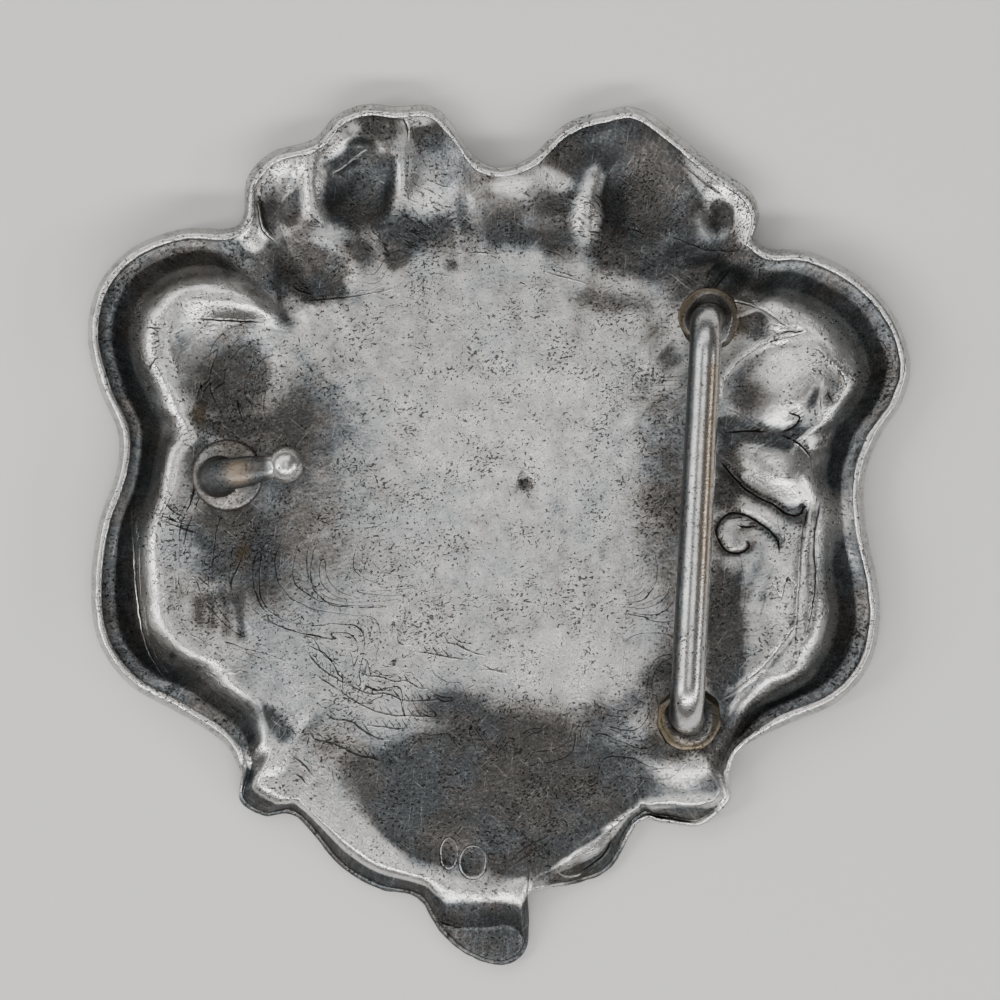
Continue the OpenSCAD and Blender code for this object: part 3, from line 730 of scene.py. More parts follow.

# %% [markdown]
# ## Where the silver is dark and where it is bright
# Silver tarnishes where nothing rubs it: in the channel, in the flowers' hearts and round the solder. Belts
# and fingers polish the crests and the lip. Light and shade are painted in as well: painted highlights on the
# crests, the lip and many raised places, a painted reflection of dark surroundings on the foot of the panel,
# the drop and the slope behind the bottom leaves, and painted shade beside the bar, the hook's foot and the
# lower leaf. All of it is painted as numbers on the mesh points, from the depth of the channel and from a
# table of soft patches, and the finish breaks them up into speckles.

# %% Tarnished and rubbed places, painted highlights and painted shade
# x, y, half width, half height, turn in degrees and strength. A strength below 0 paints a place bright: a
# painted highlight, which on crests, lips and leaves is also real rubbing.
TARNISH_AND_PAINTED_LIGHT = [
    (0.0, 31.5, 28.0, 12.0, 0, 0.4),  # all of the flowers' row, a broad darkening towards the top
    (26.0, 7.0, 8.0, 16.0, 0, 0.4),  # all of the right lobe, a broad darkening towards the right
    (-24.0, -2.0, 14.0, 22.0, 0, 0.22),  # all of the left side, a broad darkening towards the left
    (-12.2, 30.6, 5.8, 6.0, 0, 1.2),  # left heart
    (-11.0, 36.0, 3.2, 1.6, 0, 1.1),  # pocket above it
    (-6.2, 35.4, 2.0, 2.2, 0, 0.7),  # inner petal
    (-8.0, 26.6, 7.0, 3.0, 10, 0.5),  # foot of the left flower
    (-12.6, 24.8, 3.2, 2.6, -30, 0.6),  # below the left heart
    (-18.5, 23.6, 6.0, 4.4, -20, 1.0),  # hollow below the left flower
    (-20.6, 28.6, 2.4, 3.8, 0, 0.5),  # left outer petal
    (-8.9, 24.4, 2.0, 1.3, 40, 0.9),  # blot
    (-4.1, 23.9, 0.8, 0.4, 0, 1.0),  # spot
    (4.0, 26.8, 9.0, 3.4, 0, 0.6),  # below the top notch
    (12.6, 29.2, 6.6, 7.4, 0, 1.0),  # right heart
    (9.8, 35.2, 6.0, 2.0, 8, 1.2),  # pocket above it
    (6.4, 33.0, 2.4, 2.4, 0, 0.8),  # left end of the right flower
    (11.4, 33.2, 2.6, 2.2, 0, 0.8),  # top of the right heart
    (16.6, 33.0, 4.0, 1.6, -42, 0.7),  # beside the right flower's lip
    (18.6, 23.4, 8.0, 5.0, 0, 1.3),  # hollow above the bar's upper foot
    (19.8, 28.8, 1.3, 2.2, 20, 1.4),  # right outer petal
    (-19.0, 11.0, 10.0, 7.8, 0, 0.45),  # beside the dish
    (-17.6, 2.0, 12.0, 15.0, 0, 0.3),  # round the hook
    (-23.2, 14.6, 4.6, 4.4, 0, 0.3),  # dish
    (-23.6, 9.8, 4.2, 1.6, 0, 0.9),  # between the dish and the hook, painted shade above the hook's foot
    (-24.4, 1.4, 5.0, 2.2, 0, 0.6),  # below the hook's foot, painted shade under it
    (14.8, 4.0, 4.6, 18.0, 0, 0.5),  # left of the bar, the bar's painted shadow and reflection
    (19.8, -8.6, 2.6, 9.8, 0, 1.4),  # band right of the bar, the bar's painted shadow and reflection
    (20.0, 5.0, 2.2, 6.4, 0, 1.0),  # between the bar and the leaves, the bar's painted shadow and reflection
    (1.0, -22.0, 13.0, 10.0, 0, 1.5),  # foot of the panel, tarnish and a painted reflection of dark surroundings
    (-3.0, -26.4, 10.0, 4.6, -10, 1.0),  # lower edge of the foot, tarnish and a painted dark reflection
    (-7.4, -25.6, 7.0, 3.2, -30, 1.3),  # its left half, tarnish and a painted dark reflection
    (4.5, -27.6, 6.0, 3.4, 25, 1.0),  # its right half, tarnish and a painted dark reflection
    (9.0, -22.4, 9.0, 5.4, 20, 0.9),  # right side of the foot, tarnish and a painted dark reflection
    (14.5, -12.6, 4.0, 6.0, -10, 0.5),  # left of the bar's lower foot
    (-14.0, -19.0, 8.0, 5.0, -30, 0.35),  # left side of the foot, tarnish and a painted dark reflection
    (-11.6, -21.4, 4.0, 3.2, -30, 0.5),  # middle of that side, tarnish and a painted dark reflection
    (22.8, 12.4, 3.0, 2.4, 20, 0.5),  # dull side of the upper leaf
    (22.0, 9.2, 4.6, 1.5, -10, 1.2),  # between the leaves
    (26.6, 1.6, 2.0, 1.4, 0, 0.8),  # below the lower leaf, painted shadow under its rim
    (22.0, 19.2, 4.0, 2.0, 10, 0.7),  # bud
    (-22.5, -3.0, 6.0, 6.0, 0, 0.36),  # below the hook
    (-1.2, -35.2, 6.4, 5.4, 0, 2.0),  # drop, tarnish and a painted reflection of dark surroundings
    (2.6, -35.6, 1.0, 2.6, 0, -1.6),  # its right edge, rubbed bright and a painted highlight
    (-18.0, 33.0, 2.8, 1.5, 20, -1.4),  # top of the left outer petal, rubbed bright and a painted highlight
    (-12.6, 36.0, 1.0, 0.9, 0, -1.0),  # left flower's lip, rubbed and a painted highlight
    (-14.8, 34.2, 1.8, 1.5, 40, -1.2),  # upper edge of the left heart
    (-7.0, 36.6, 2.0, 0.8, 0, -1.0),  # lip beside the left notch
    (1.6, 30.8, 3.0, 1.3, 0, -1.2),  # below the top notch
    (4.8, 31.4, 3.0, 1.4, -15, -1.1),  # right of it
    (-6.8, 30.6, 3.2, 3.6, 0, -1.0),  # right flank of the left flower
    (7.4, 27.6, 2.8, 3.4, -20, -0.95),  # petal fold of the right flower
    (8.8, 31.2, 1.0, 1.6, 0, -0.6),  # its upper end
    (12.7, 30.0, 2.6, 3.2, 0, -1.1),  # middle of the right heart
    (18.4, 31.4, 4.6, 1.6, -41, -1.7),  # right flower's shoulder
    (21.6, 27.8, 1.0, 3.0, 0, -1.4),  # its outer lip
    (3.6, 27.6, 3.6, 1.6, 0, -0.5),  # between the flowers
    (24.6, 5.0, 4.4, 2.6, -32, -1.2),  # lower leaf
    (26.0, 15.4, 4.0, 2.2, -30, -1.2),  # top of the upper leaf
    (25.0, 10.6, 3.0, 1.8, 10, -0.8),  # its lower part
    (28.5, 8.5, 1.6, 3.6, 0, -0.8),  # slope right of both leaves
    (-24.0, 20.4, 5.8, 2.2, 0, -1.5),  # roll above the dish
    (-20.4, -19.6, 2.6, 2.2, 0, -1.2),  # knot at the lower left
    (25.5, -5.0, 2.6, 7.4, 0, -0.6),  # pale band of the right lobe
    (5.0, -11.6, 8.0, 4.0, 0, -0.5),  # panel above the foot
    (-21.6, 26.2, 1.5, 1.4, 0, -1.6),  # corner left of the left flower
    (29.8, 1.6, 2.4, 4.6, 0, -1.6),  # ramp at the right waist
    (25.0, -13.5, 4.4, 1.4, 28, -1.4),  # roll of the lower right lobe
    (-31.4, 15.4, 1.2, 3.4, 0, -0.5),  # ramp left of the dish
    (16.2, 29.4, 2.8, 4.0, 0, 1.1),  # right half of the right heart
    (11.5, 24.4, 5.0, 2.6, 0, 0.6),  # below the right heart
    (-14.6, 20.9, 4.6, 1.8, 8, 0.8),  # panel below the left flower's hollow
    (-17.4, 26.6, 2.6, 2.6, 0, 0.6),  # foot of the left outer petal
    (9.6, -15.8, 3.6, 3.0, 0, 0.5),  # upper right of the foot, tarnish and a painted dark reflection
    (-4.4, -14.8, 4.6, 2.6, 0, 0.7),  # upper left of the foot, tarnish and a painted dark reflection
    (-20.4, -15.9, 3.6, 1.2, -40, 1.0),  # end of the lower left channel
    (2.4, 4.6, 1.0, 0.5, -15, 1.2),  # pit in the panel
    (-1.0, 9.5, 14.0, 8.0, 0, -0.16),  # middle of the panel
    (6.0, 13.6, 6.0, 2.6, 0, -0.25),  # its upper right
    (1.6, 24.6, 3.0, 2.0, 0, -0.4),  # its upper end
    (9.6, 20.6, 6.0, 1.6, -4, 0.5),  # left of the bar's upper foot
    (20.2, -18.4, 3.4, 4.4, -35, 1.2),  # corner at the lower right
    (-12.8, -25.6, 7.5, 1.3, -38, -1.2),  # crest behind the left bottom leaf
    (-15.8, 31.4, 1.6, 2.2, 0, -0.7),  # left edge of the left heart
    (-26.6, 6.6, 2.4, 4.6, 0, 0.45),  # left of the hook's foot
    (27.0, 6.0, 2.2, 3.6, 0, -1.0),  # slope of the lower leaf
    (26.5, 17.2, 2.4, 2.0, 0, -0.7),  # above the upper leaf
    (-8.0, -19.6, 5.0, 3.6, 20, 0.55),  # left half of the foot's middle, tarnish and a painted dark reflection
    (16.1, -24.6, 4.4, 0.9, 3, 1.3),  # groove of the right leaf
    (16.4, -23.3, 4.4, 0.6, 0, -1.0),  # crest above it
    (15.2, -18.4, 4.6, 2.2, 0, 0.7),  # below the bar's lower foot
    (24.4, 14.4, 4.2, 2.8, -20, -0.4),  # middle of the upper leaf
]

# %% Stains, wrinkled fields and scuffed places
# The columns are the same
STAINS = [
    (-26.3, 10.6, 1.2, 1.8, 0, 1.0),  # left of the dish's foot
    (-22.0, 14.1, 0.9, 0.5, 0, 0.8),  # in the dish
    (-22.6, -1.5, 1.0, 2.0, -20, 0.9),  # below the hook
    (-28.7, -10.6, 0.5, 1.1, -20, 1.0),  # on the left ramp
    (29.9, 14.0, 0.4, 1.5, 5, 1.0),  # right of the upper leaf
    (19.2, 18.2, 4.6, 5.4, 0, 1.0),  # round the bar's upper foot
    (15.6, -16.2, 4.4, 3.8, 0, 1.0),  # round the bar's lower foot
    (27.4, -3.0, 0.5, 6.0, 2, 0.7),  # along the right lobe's crease
    (-23.8, 5.3, 4.4, 4.4, 0, 0.35),  # round the hook's foot
    (11.4, 13.0, 2.6, 3.0, 0, 0.35),  # on the file marks
]

# Fields of fine wrinkles that run beside the rim
RIPPLES = [
    (-14.0, -6.0, 11.0, 9.0, -30, 1.2),  # left part of the panel
    (-9.0, -14.0, 12.0, 6.0, -15, 1.2),  # its lower left
    (-23.5, -5.0, 7.0, 10.0, 10, 1.2),  # beside the left rim
    (-24.0, 14.0, 8.0, 7.0, 0, 1.0),  # round the dish
    (-27.0, 3.0, 5.0, 6.0, 0, 1.0),  # left of the hook
    (24.0, -3.0, 6.0, 8.0, 0, 1.0),  # right lobe
    (14.0, -8.0, 5.0, 9.0, 0, 1.0),  # left of the bar
    (8.0, -18.0, 16.0, 8.0, 0, 0.7),  # foot of the panel
    (12.0, 14.0, 6.0, 6.0, 0, 0.6),  # round the file marks
    (-10.0, 24.0, 10.0, 4.0, 0, 0.7),  # below the left flower
]

# Scuffed places with many short dark marks
SCUFFS = [
    (-6.8, 29.0, 4.0, 5.0, 0, 1.3),  # right flank of the left flower
    (8.2, 28.4, 2.6, 5.0, 0, 1.5),  # petal fold of the right flower
    (-10.0, 25.4, 7.0, 3.0, -10, 1.0),  # foot of the left flower
    (2.5, 30.0, 4.5, 2.5, 0, 0.8),  # below the top notch
    (-17.0, 27.5, 2.5, 3.5, 0, 0.6),  # left outer petal
    (12.0, 24.0, 9.0, 3.0, -8, 0.8),  # below the right flower
    (13.5, 13.0, 4.0, 3.0, 0, 0.5),  # file marks
    (25.0, 11.5, 5.0, 4.0, 30, 0.5),  # upper leaf
    (-26.0, 3.0, 4.0, 6.0, 0, 0.4),  # left of the hook
    (3.4, -28.2, 3.6, 1.8, 35, 0.8),  # bottom leaf
    (29.4, 1.8, 2.6, 4.6, 0, 1.0),  # right waist
]
print(len(TARNISH_AND_PAINTED_LIGHT), "tarnished or rubbed places,", len(STAINS), "stains,", len(SCUFFS), "scuffs")

# %% Where a point lies in the rim
DEEP_FROM = 0.8
DEEP_RANGE = 1.2
LOW_LIP = 2.2
LOW_LIP_RANGE = 0.9
SHALLOWEST = 0.5
in_rim = ring_number < wall_rings + BACK_RAMP
ramp_t = np.clip((ring_number - wall_rings + 1) / BACK_RAMP, 0, None)
rim_depth = np.tile(crest_z - floor_z, len(back))
depth_share = (np.tile(crest_z, len(back)) - back_z) / np.maximum(rim_depth, SHALLOWEST)
deep_rim = ease((rim_depth - DEEP_FROM) / DEEP_RANGE)
low_edge = np.tile(ease((LOW_LIP - lip_z) / LOW_LIP_RANGE), len(back))
ring_way = np.linalg.norm(back_p - np.tile(edge, (len(back), 1)), axis=1)
print(int(in_rim.sum()), "points of the back lie in the rim")

# %% Hollows and ridges of any size
NEAR_RINGS = 4
NEAR_STATIONS = 4


def around(grid):
    """Mean of each ring point and its neighbours, ring by ring and then round the ring."""
    padded = np.vstack([grid[:1].repeat(NEAR_RINGS, axis=0), grid, grid[-1:].repeat(NEAR_RINGS, axis=0)])
    mean = sum(padded[k:k + len(grid)] for k in range(2 * NEAR_RINGS + 1)) / (2 * NEAR_RINGS + 1)
    return ring_mean(mean, NEAR_STATIONS, axis=1)


hollow = around(back_z.reshape(len(back), stations)).reshape(-1) - back_z
print("deepest hollow", round(float(hollow.max()), 2), "mm")

# %% Add up the tarnish, the painted highlights and the painted shade
PANEL_TARNISH = 0.3
# Painted highlights: the crest behind the low edges and the ridge at the top of the ramp are made bright,
# partly rubbed silver and partly painted highlights
CREST_POLISH_AND_HIGHLIGHT = 1.1
CREST_SHINE_AT = 0.84
CREST_SHINE_WIDTH = 0.2
RIDGE_POLISH_AND_HIGHLIGHT = 0.7
RIDGE_AT = 0.97
RIDGE_WIDTH = 0.1
# Painted shade: the slope outside the crest on the low edges is darkened, partly tarnish and partly a painted
# reflection of dark surroundings
SLOPE_TARNISH_AND_SHADE = 0.9
SLOPE_END = 0.58
SLOPE_FADE = 0.16
CHANNEL_TARNISH = 0.95
CHANNEL_FROM = 0.42
CHANNEL_RANGE = 0.4
HOLLOW_DIRT = 4.0
DIRT_LIMIT = 0.45
RIM_DIRT = 0.4
# Painted highlight on the lip: its first rings are made bright, partly rubbed silver and partly a painted
# highlight
LIP_POLISH_AND_HIGHLIGHT = 0.8
LIP_RINGS = 1.5
DULLEST = 0.92
CHANNEL_WEAR = 0.2
crest_highlight_share = np.exp(-(((ramp_t - CREST_SHINE_AT) / CREST_SHINE_WIDTH) ** 2)) * low_edge
ridge_highlight_share = np.exp(-(((ramp_t - RIDGE_AT) / RIDGE_WIDTH) ** 2)) * deep_rim
lip_highlight_share = np.where(on_wall, ease(1 - ring_number / LIP_RINGS), 0) * (1 - low_edge)
dirt = np.clip(HOLLOW_DIRT * hollow, -DIRT_LIMIT, DIRT_LIMIT) * np.where(in_rim, RIM_DIRT, 1)
darkness = PANEL_TARNISH + swells(back_p, TARNISH_AND_PAINTED_LIGHT) - CREST_POLISH_AND_HIGHLIGHT * crest_highlight_share - RIDGE_POLISH_AND_HIGHLIGHT * ridge_highlight_share
darkness = darkness + SLOPE_TARNISH_AND_SHADE * low_edge * ease((SLOPE_END - ramp_t) / SLOPE_FADE)
darkness = darkness + CHANNEL_TARNISH * deep_rim * in_rim * ease((depth_share - CHANNEL_FROM) / CHANNEL_RANGE)
dullest = DULLEST - CHANNEL_WEAR * deep_rim * in_rim * (1 - low_edge)
darkness = np.clip(darkness + dirt - LIP_POLISH_AND_HIGHLIGHT * lip_highlight_share, 0, dullest)
print("mean tarnish", round(float(darkness.mean()), 2))

# %% A direction round the rim, for brush marks
BRUSH_REACH = 6.0
edge_way = np.concatenate([[0], np.cumsum(np.linalg.norm(np.diff(edge, axis=0), axis=1))])
edge_length = edge_way[-1] + np.linalg.norm(edge[0] - edge[-1])
edge_turn = edge_way / edge_length * 2 * math.pi
edge_r = edge_length / (2 * math.pi)
brushed = np.exp(-((ring_way / BRUSH_REACH) ** 2))
print("the edge is", round(edge_length, 1), "mm long")

# %% [markdown]
# ## One closed mesh for the plate
# The rings become a mesh when each one is joined to the next by a row of quads. The rings over the lip close
# the gap between the back and the face, and a fan closes the hole in the middle of each side. The numbers for
# tarnish with its painted highlights and painted shade, stains, wrinkles and lines go along as attributes,
# one for each point, where the finish reads them.

# %% Helpers that make a piece


def skin_faces(first, ring_count, count, flip):
    """Quads between rings that lie one after another in the list of points."""
    ring = np.arange(ring_count - 1)[:, None] * count + first
    i = np.arange(count)[None, :]
    nxt = (i + 1) % count
    quads = np.stack([ring + i, ring + nxt, ring + count + nxt, ring + count + i], -1).reshape(-1, 4)
    return (quads[:, ::-1] if flip else quads).tolist()


def mesh_piece(name, points, faces, attributes):
    """A smooth mesh in metres with its attributes."""
    data = bpy.data.meshes.new(name)
    data.from_pydata((points * MM).tolist(), [], faces)
    data.polygons.foreach_set("use_smooth", np.ones(len(data.polygons), bool))
    for key, values in attributes.items():
        layer = data.attributes.new(key, "FLOAT", "POINT")
        layer.data.foreach_set("value", np.asarray(values, np.float32))
    data.validate()
    piece = bpy.data.objects.new(name, data)
    bpy.context.scene.collection.objects.link(piece)
    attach(piece, "root")
    print(name, len(points), "points,", len(data.polygons), "faces")
    return piece


# %% Points and faces of the plate
face_p, face_z = joined(face)
lip_p, lip_zs = joined(lip)
middle_z = float(dome(np.zeros(2)))
points = np.vstack([
    np.column_stack([back_p, back_z]),
    np.column_stack([face_p, face_z]),
    np.column_stack([lip_p, lip_zs]),
    [[0, 0, middle_z], [0, 0, middle_z - SHEET]],
])
back_count, face_count = len(back_p), len(face_p)
i = np.arange(stations)
nxt = (i + 1) % stations
faces = skin_faces(0, len(back), stations, False) + skin_faces(back_count, len(face), stations, True)
ring_order = [0] + [back_count + face_count + k * stations for k in range(len(lip))] + [back_count]
for low, high in zip(ring_order, ring_order[1:]):
    faces += np.stack([low + i, high + i, high + nxt, low + nxt], -1).tolist()
last_back, last_face = back_count - stations, back_count + face_count - stations
top_middle = len(points) - 2
faces += np.stack([last_back + i, last_back + nxt, np.full(stations, top_middle)], -1).tolist()
faces += np.stack([last_face + nxt, last_face + i, np.full(stations, top_middle + 1)], -1).tolist()

# %% The plate with its attributes
FACE_TARNISH = 0.35
LOW_LIP_TARNISH_AND_SHADE = 0.8
# One share for each ring over the lip, from the back to the face. The low shares on its top rings are a
# painted highlight along a lip that is also rubbed. On the low edges the whole lip is darkened, partly
# tarnish and partly a painted reflection of dark surroundings.
LIP_TARNISH_AND_HIGHLIGHT = (0.5, 0.15, 0.0, 0.0, 0.1, 0.3, 0.4)
rest = len(points) - back_count
all_rings = len(back) + len(face) + len(lip)
lip_darkness = [mix(share, LOW_LIP_TARNISH_AND_SHADE, low_edge[:stations]) for share in LIP_TARNISH_AND_HIGHLIGHT]


def on_back(values):
    """Values of the back's points, and 0 for all other points."""
    return np.concatenate([values, np.zeros(rest)])


# The darkness attribute holds the tarnish together with the painted highlights and the painted shade
plate = mesh_piece("plate_skin", points, faces, {
    "darkness": np.concatenate([
        darkness, np.full(face_count, FACE_TARNISH), *lip_darkness, [PANEL_TARNISH, FACE_TARNISH]]),
    "stain": on_back(np.clip(swells(back_p, STAINS), 0, 1)),
    "from_rim": on_back(ring_way),
    "ripple": on_back(np.clip(swells(back_p, RIPPLES), 0, 1)),
    "scuffed": on_back(np.clip(swells(back_p, SCUFFS), 0, 1)),
    "brushed": np.concatenate([brushed, np.full(rest - 2, 1.0), [0, 0]]),
    "round_x": np.concatenate([np.tile(edge_r * np.cos(edge_turn), all_rings), [0, 0]]),
    "round_y": np.concatenate([np.tile(edge_r * np.sin(edge_turn), all_rings), [0, 0]]),
    **{key: on_back(values) for key, values in lines.items()},
})
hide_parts("plate")

# %% [markdown]
# ## The belt bar
# The bar is bent wire, so it is a row of rings along a path. A ring has a middle, an axis and a radius,
# and the solder at a foot is only a ring that grows wider as it nears the plate. One closed skin
# therefore runs from foot to foot, and the join has the soft hollow that solder draws in. The bar was bent by
# hand and leans a little towards the middle of the buckle, so its rings are moved over as they rise.

# %% A skin through rings


def ringed(rings, side, sides):
    """Points of a closed skin. A ring is a middle, an axis and a radius, and side is square to all axes."""
    turn = np.arange(sides) / sides * 2 * math.pi
    out = []
    for middle, axis, radius in rings:
        across = np.cross(axis, side)
        out.append(np.array(middle) + radius * (
            np.cos(turn)[:, None] * np.array(side) + np.sin(turn)[:, None] * across))
    return np.array(out)


def closed_faces(ring_count, sides):
    """Quads of a ringed skin with a fan at each end."""
    faces = skin_faces(0, ring_count, sides, False)
    first, last = ring_count * sides, ring_count * sides + 1
    end = (ring_count - 1) * sides
    for k in range(sides):
        after = (k + 1) % sides
        faces.append([after, k, first])
        faces.append([end + k, end + after, last])
    return faces


# %% The hollow curve of solder
# Share of the solder's extra radius, and share of its height where it is reached
FILLET = [(1.0, 0.0), (0.97, 0.06), (0.7, 0.08), (0.5, 0.16), (0.3, 0.36), (0.1, 0.7), (0.03, 1.0)]
FILLET_END = 1.2


def fillet_radius(height, wire_r, rim_r, tall):
    """Radius of the solder at a height above the foot."""
    shares, heights = zip(*FILLET)
    extra = (rim_r - wire_r) * np.interp(height / tall, heights, shares)
    return wire_r + extra * (height < tall * FILLET_END)


# %% Path of the belt bar
BAR_WIRE = 2.9
BAR_BEND = 3.0
BEND_TURN = 84
LEG_SPREAD = 0.4
LEG_CURVE = 0.4
COLLAR_R = 2.8
SEAT_GAP = 0.02
SPAN_RINGS = 24
BEND_RINGS = 18
LEG_RINGS = 40
bar_low, bar_high = (np.array(corner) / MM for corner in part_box("belt_bar"))
bar_z = bar_high[2] - BAR_WIRE / 2
upper_foot = np.array([bar_high[0] - COLLAR_R, bar_high[1] - COLLAR_R])
lower_foot = np.array([bar_low[0] + COLLAR_R, bar_low[1] + COLLAR_R])
bar_axis = unit(upper_foot - lower_foot)
foot_half = np.linalg.norm(upper_foot - lower_foot) / 2
bar_middle = (upper_foot + lower_foot) / 2


def half_bar():
    """Places on one half of the bar as (along, height), from its middle down to height 0."""
    half = []
    bend_x = foot_half - LEG_SPREAD - BAR_BEND
    bend_z = bar_z - BAR_BEND
    for t in np.linspace(0, 1, SPAN_RINGS):
        half.append((bend_x * t, bar_z))
    for a in np.radians(np.linspace(0, BEND_TURN, BEND_RINGS))[1:]:
        half.append((bend_x + BAR_BEND * math.sin(a), bend_z + BAR_BEND * math.cos(a)))
    knee = np.array(half[-1])
    for t in 1 - (1 - steps(LEG_RINGS)) ** 2:
        half.append((mix(knee[0], foot_half, mix(t, ease(t), LEG_CURVE)), mix(knee[1], 0, t)))
    return np.array(half)


def one_half(foot_z):
    """One half of the bar with its leg shortened to end at a height."""
    half = half_bar()
    low = half[:, 1] < bar_z - BAR_BEND
    knee = half[~low][-1, 1]
    half[low, 1] = foot_z + half[low, 1] * (knee - foot_z) / knee
    return half


upper_half = one_half(SEATS[0][2] + SEAT_GAP)
lower_half = one_half(SEATS[1][2] + SEAT_GAP)
lower_half[:, 0] *= -1
path = np.vstack([lower_half[::-1], upper_half[1:]])
print("bar path", len(path), "rings, top at", round(bar_z, 2))

# %% Rings of the belt bar
SOLDER_R = 2.8
COLLAR_H = 1.1
LOW_END_SCALE = 1.03
HIGH_END_SCALE = 0.96
BAR_LEAN = 0.45
LEAN_HEIGHT = 5.0
BAR_SIDES = 48
tangent = unit(np.gradient(path, axis=0))
tangent[0] = (0, 1)
tangent[-1] = (0, -1)
foot_height = np.where(path[:, 0] < 0, path[:, 1] - path[0, 1], path[:, 1] - path[-1, 1])
bar_radius = fillet_radius(foot_height, BAR_WIRE / 2, SOLDER_R, COLLAR_H)
# The wire is a little thinner at its upper end
bar_radius = bar_radius * mix(LOW_END_SCALE, HIGH_END_SCALE, ease((path[:, 0] + foot_half) / (2 * foot_half)))
across_bar = np.array([-bar_axis[1], bar_axis[0], 0])
bar_rings = []
for (u, z), (tu, tz), radius in zip(path, tangent, bar_radius):
    lean = BAR_LEAN * min((z - path[0, 1]) / LEAN_HEIGHT, 1)
    centre = np.append(bar_middle + bar_axis * u, z) + across_bar * lean
    bar_rings.append((centre, np.array([bar_axis[0] * tu, bar_axis[1] * tu, tz]), radius))
bar_grid = ringed(bar_rings, -across_bar, BAR_SIDES)
bar_ends = np.array([bar_rings[0][0], bar_rings[-1][0]])
bar_points = np.vstack([bar_grid.reshape(-1, 3), bar_ends])
print("bar radius from", round(float(bar_radius.min()), 2), "to", round(float(bar_radius.max()), 2))

# %% Lumps in the solder
SOLDER_FROM = 0.5
SOLDER_RANGE = 1.6
SOLDER_LUMP = 0.3
SOLDER_LUMP_SIZE = 1.5
WIRE_LUMP = 0.02
WIRE_LUMP_SIZE = 3.0
SOLDER_SEED = 3.0
WIRE_SEED = 8.0
NO_LENGTH = 1e-6


def lumps(points, size, seed):
    """Soft noise from -1 to 1 in space."""
    return np.array([noise.noise(Vector(tuple(p / size)) + Vector((seed, 0, 0))) for p in points])


bar_centres = np.vstack([np.repeat([ring[0] for ring in bar_rings], BAR_SIDES, axis=0), bar_ends])
outwards = bar_points - bar_centres
size_out = np.linalg.norm(outwards, axis=1, keepdims=True)
outwards = np.divide(outwards, size_out, out=np.zeros_like(outwards), where=size_out > NO_LENGTH)
solder = np.repeat(1 - ease((foot_height - SOLDER_FROM) / SOLDER_RANGE), BAR_SIDES)
solder_all = np.concatenate([solder, [1, 1]])
solder_out = SOLDER_LUMP * solder_all * lumps(bar_points, SOLDER_LUMP_SIZE, SOLDER_SEED)
bar_points = bar_points + outwards * solder_out[:, None]
bar_points = bar_points + outwards * (WIRE_LUMP * lumps(bar_points, WIRE_LUMP_SIZE, WIRE_SEED))[:, None]
print(int((solder > 0).sum()), "points of the bar are in solder")

# %% Tarnish, brown solder, the worn yellow line and a painted dark side on the bar
# Angles round the wire are in degrees, and places along the bar in mm from its middle
BRASS_AT = 302
BRASS_WIDTH = 25
BRASS_FROM = -12
BRASS_FADE_IN = 10
BRASS_TO = 16
BRASS_FADE_OUT = 4
# Painted shade: the wire's left side is darkened as a painted reflection of dark surroundings
SHADED_SIDE_AT = 196
SHADED_SIDE_WIDTH = 30
SHADED_SIDE = 0.9
WIRE_TARNISH = 0.32
SOLDER_TARNISH = 0.4
SOLDER_STAIN = 0.9
STAINED_R = 1.8
STAIN_FADE = 0.7
END_TARNISH = 0.5
angle = np.tile(np.arange(BAR_SIDES) / BAR_SIDES, len(bar_rings)) * 360
bar_u = np.repeat(path[:, 0], BAR_SIDES)
brass_length = ease((bar_u - BRASS_FROM) / BRASS_FADE_IN) * ease((BRASS_TO - bar_u) / BRASS_FADE_OUT)
brass = np.exp(-(((angle - BRASS_AT) / BRASS_WIDTH) ** 2)) * brass_length
painted_side_shade = SHADED_SIDE * np.exp(-(((angle - SHADED_SIDE_AT) / SHADED_SIDE_WIDTH) ** 2))
bar_darkness = WIRE_TARNISH + SOLDER_TARNISH * solder + painted_side_shade
bar_stain = np.repeat(SOLDER_STAIN * ease((bar_radius - STAINED_R) / STAIN_FADE), BAR_SIDES)
bar = mesh_piece("belt_bar_wire", bar_points, closed_faces(len(bar_rings), BAR_SIDES), {
    "darkness": np.concatenate([bar_darkness, [END_TARNISH, END_TARNISH]]),
    "stain": np.concatenate([bar_stain, [0, 0]]),
    "brass": np.concatenate([brass, [0, 0]]),
})
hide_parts("belt_bar")

# %% [markdown]
# ## The hook
# The hook is a cast stud: a round foot, a root that flares out like poured solder, a stem that bends over,
# and a round knob that holds the other end of the belt. A stem could be a bevelled curve and the knob
# a sphere, but the two would show a seam. As one row of rings, each form runs into the next.

# %% The hook's place and how a ring is added
FOOT_R = 3.15
HOOK_TURN = 9.5
HOOK_SIDES = 48
hook_low, hook_high = (np.array(corner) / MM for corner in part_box("hook"))
hook_centre = np.array([hook_low[0] + FOOT_R, (hook_low[1] + hook_high[1]) / 2, hook_low[2]])
hook_way = np.array([math.cos(math.radians(HOOK_TURN)), math.sin(math.radians(HOOK_TURN)), 0])
hook_side = np.array([hook_way[1], -hook_way[0], 0])
UP = np.array([0, 0, 1.0])
hook_rings = []


def hook_ring(x, z, lean, radius):
    """Adds a ring at (x along the hook, z above its foot). Lean 0 faces up and 90 faces along the hook."""
    a = math.radians(lean)
    centre = hook_centre + hook_way * x + UP * z
    hook_rings.append((centre, hook_way * math.sin(a) + UP * math.cos(a), radius))


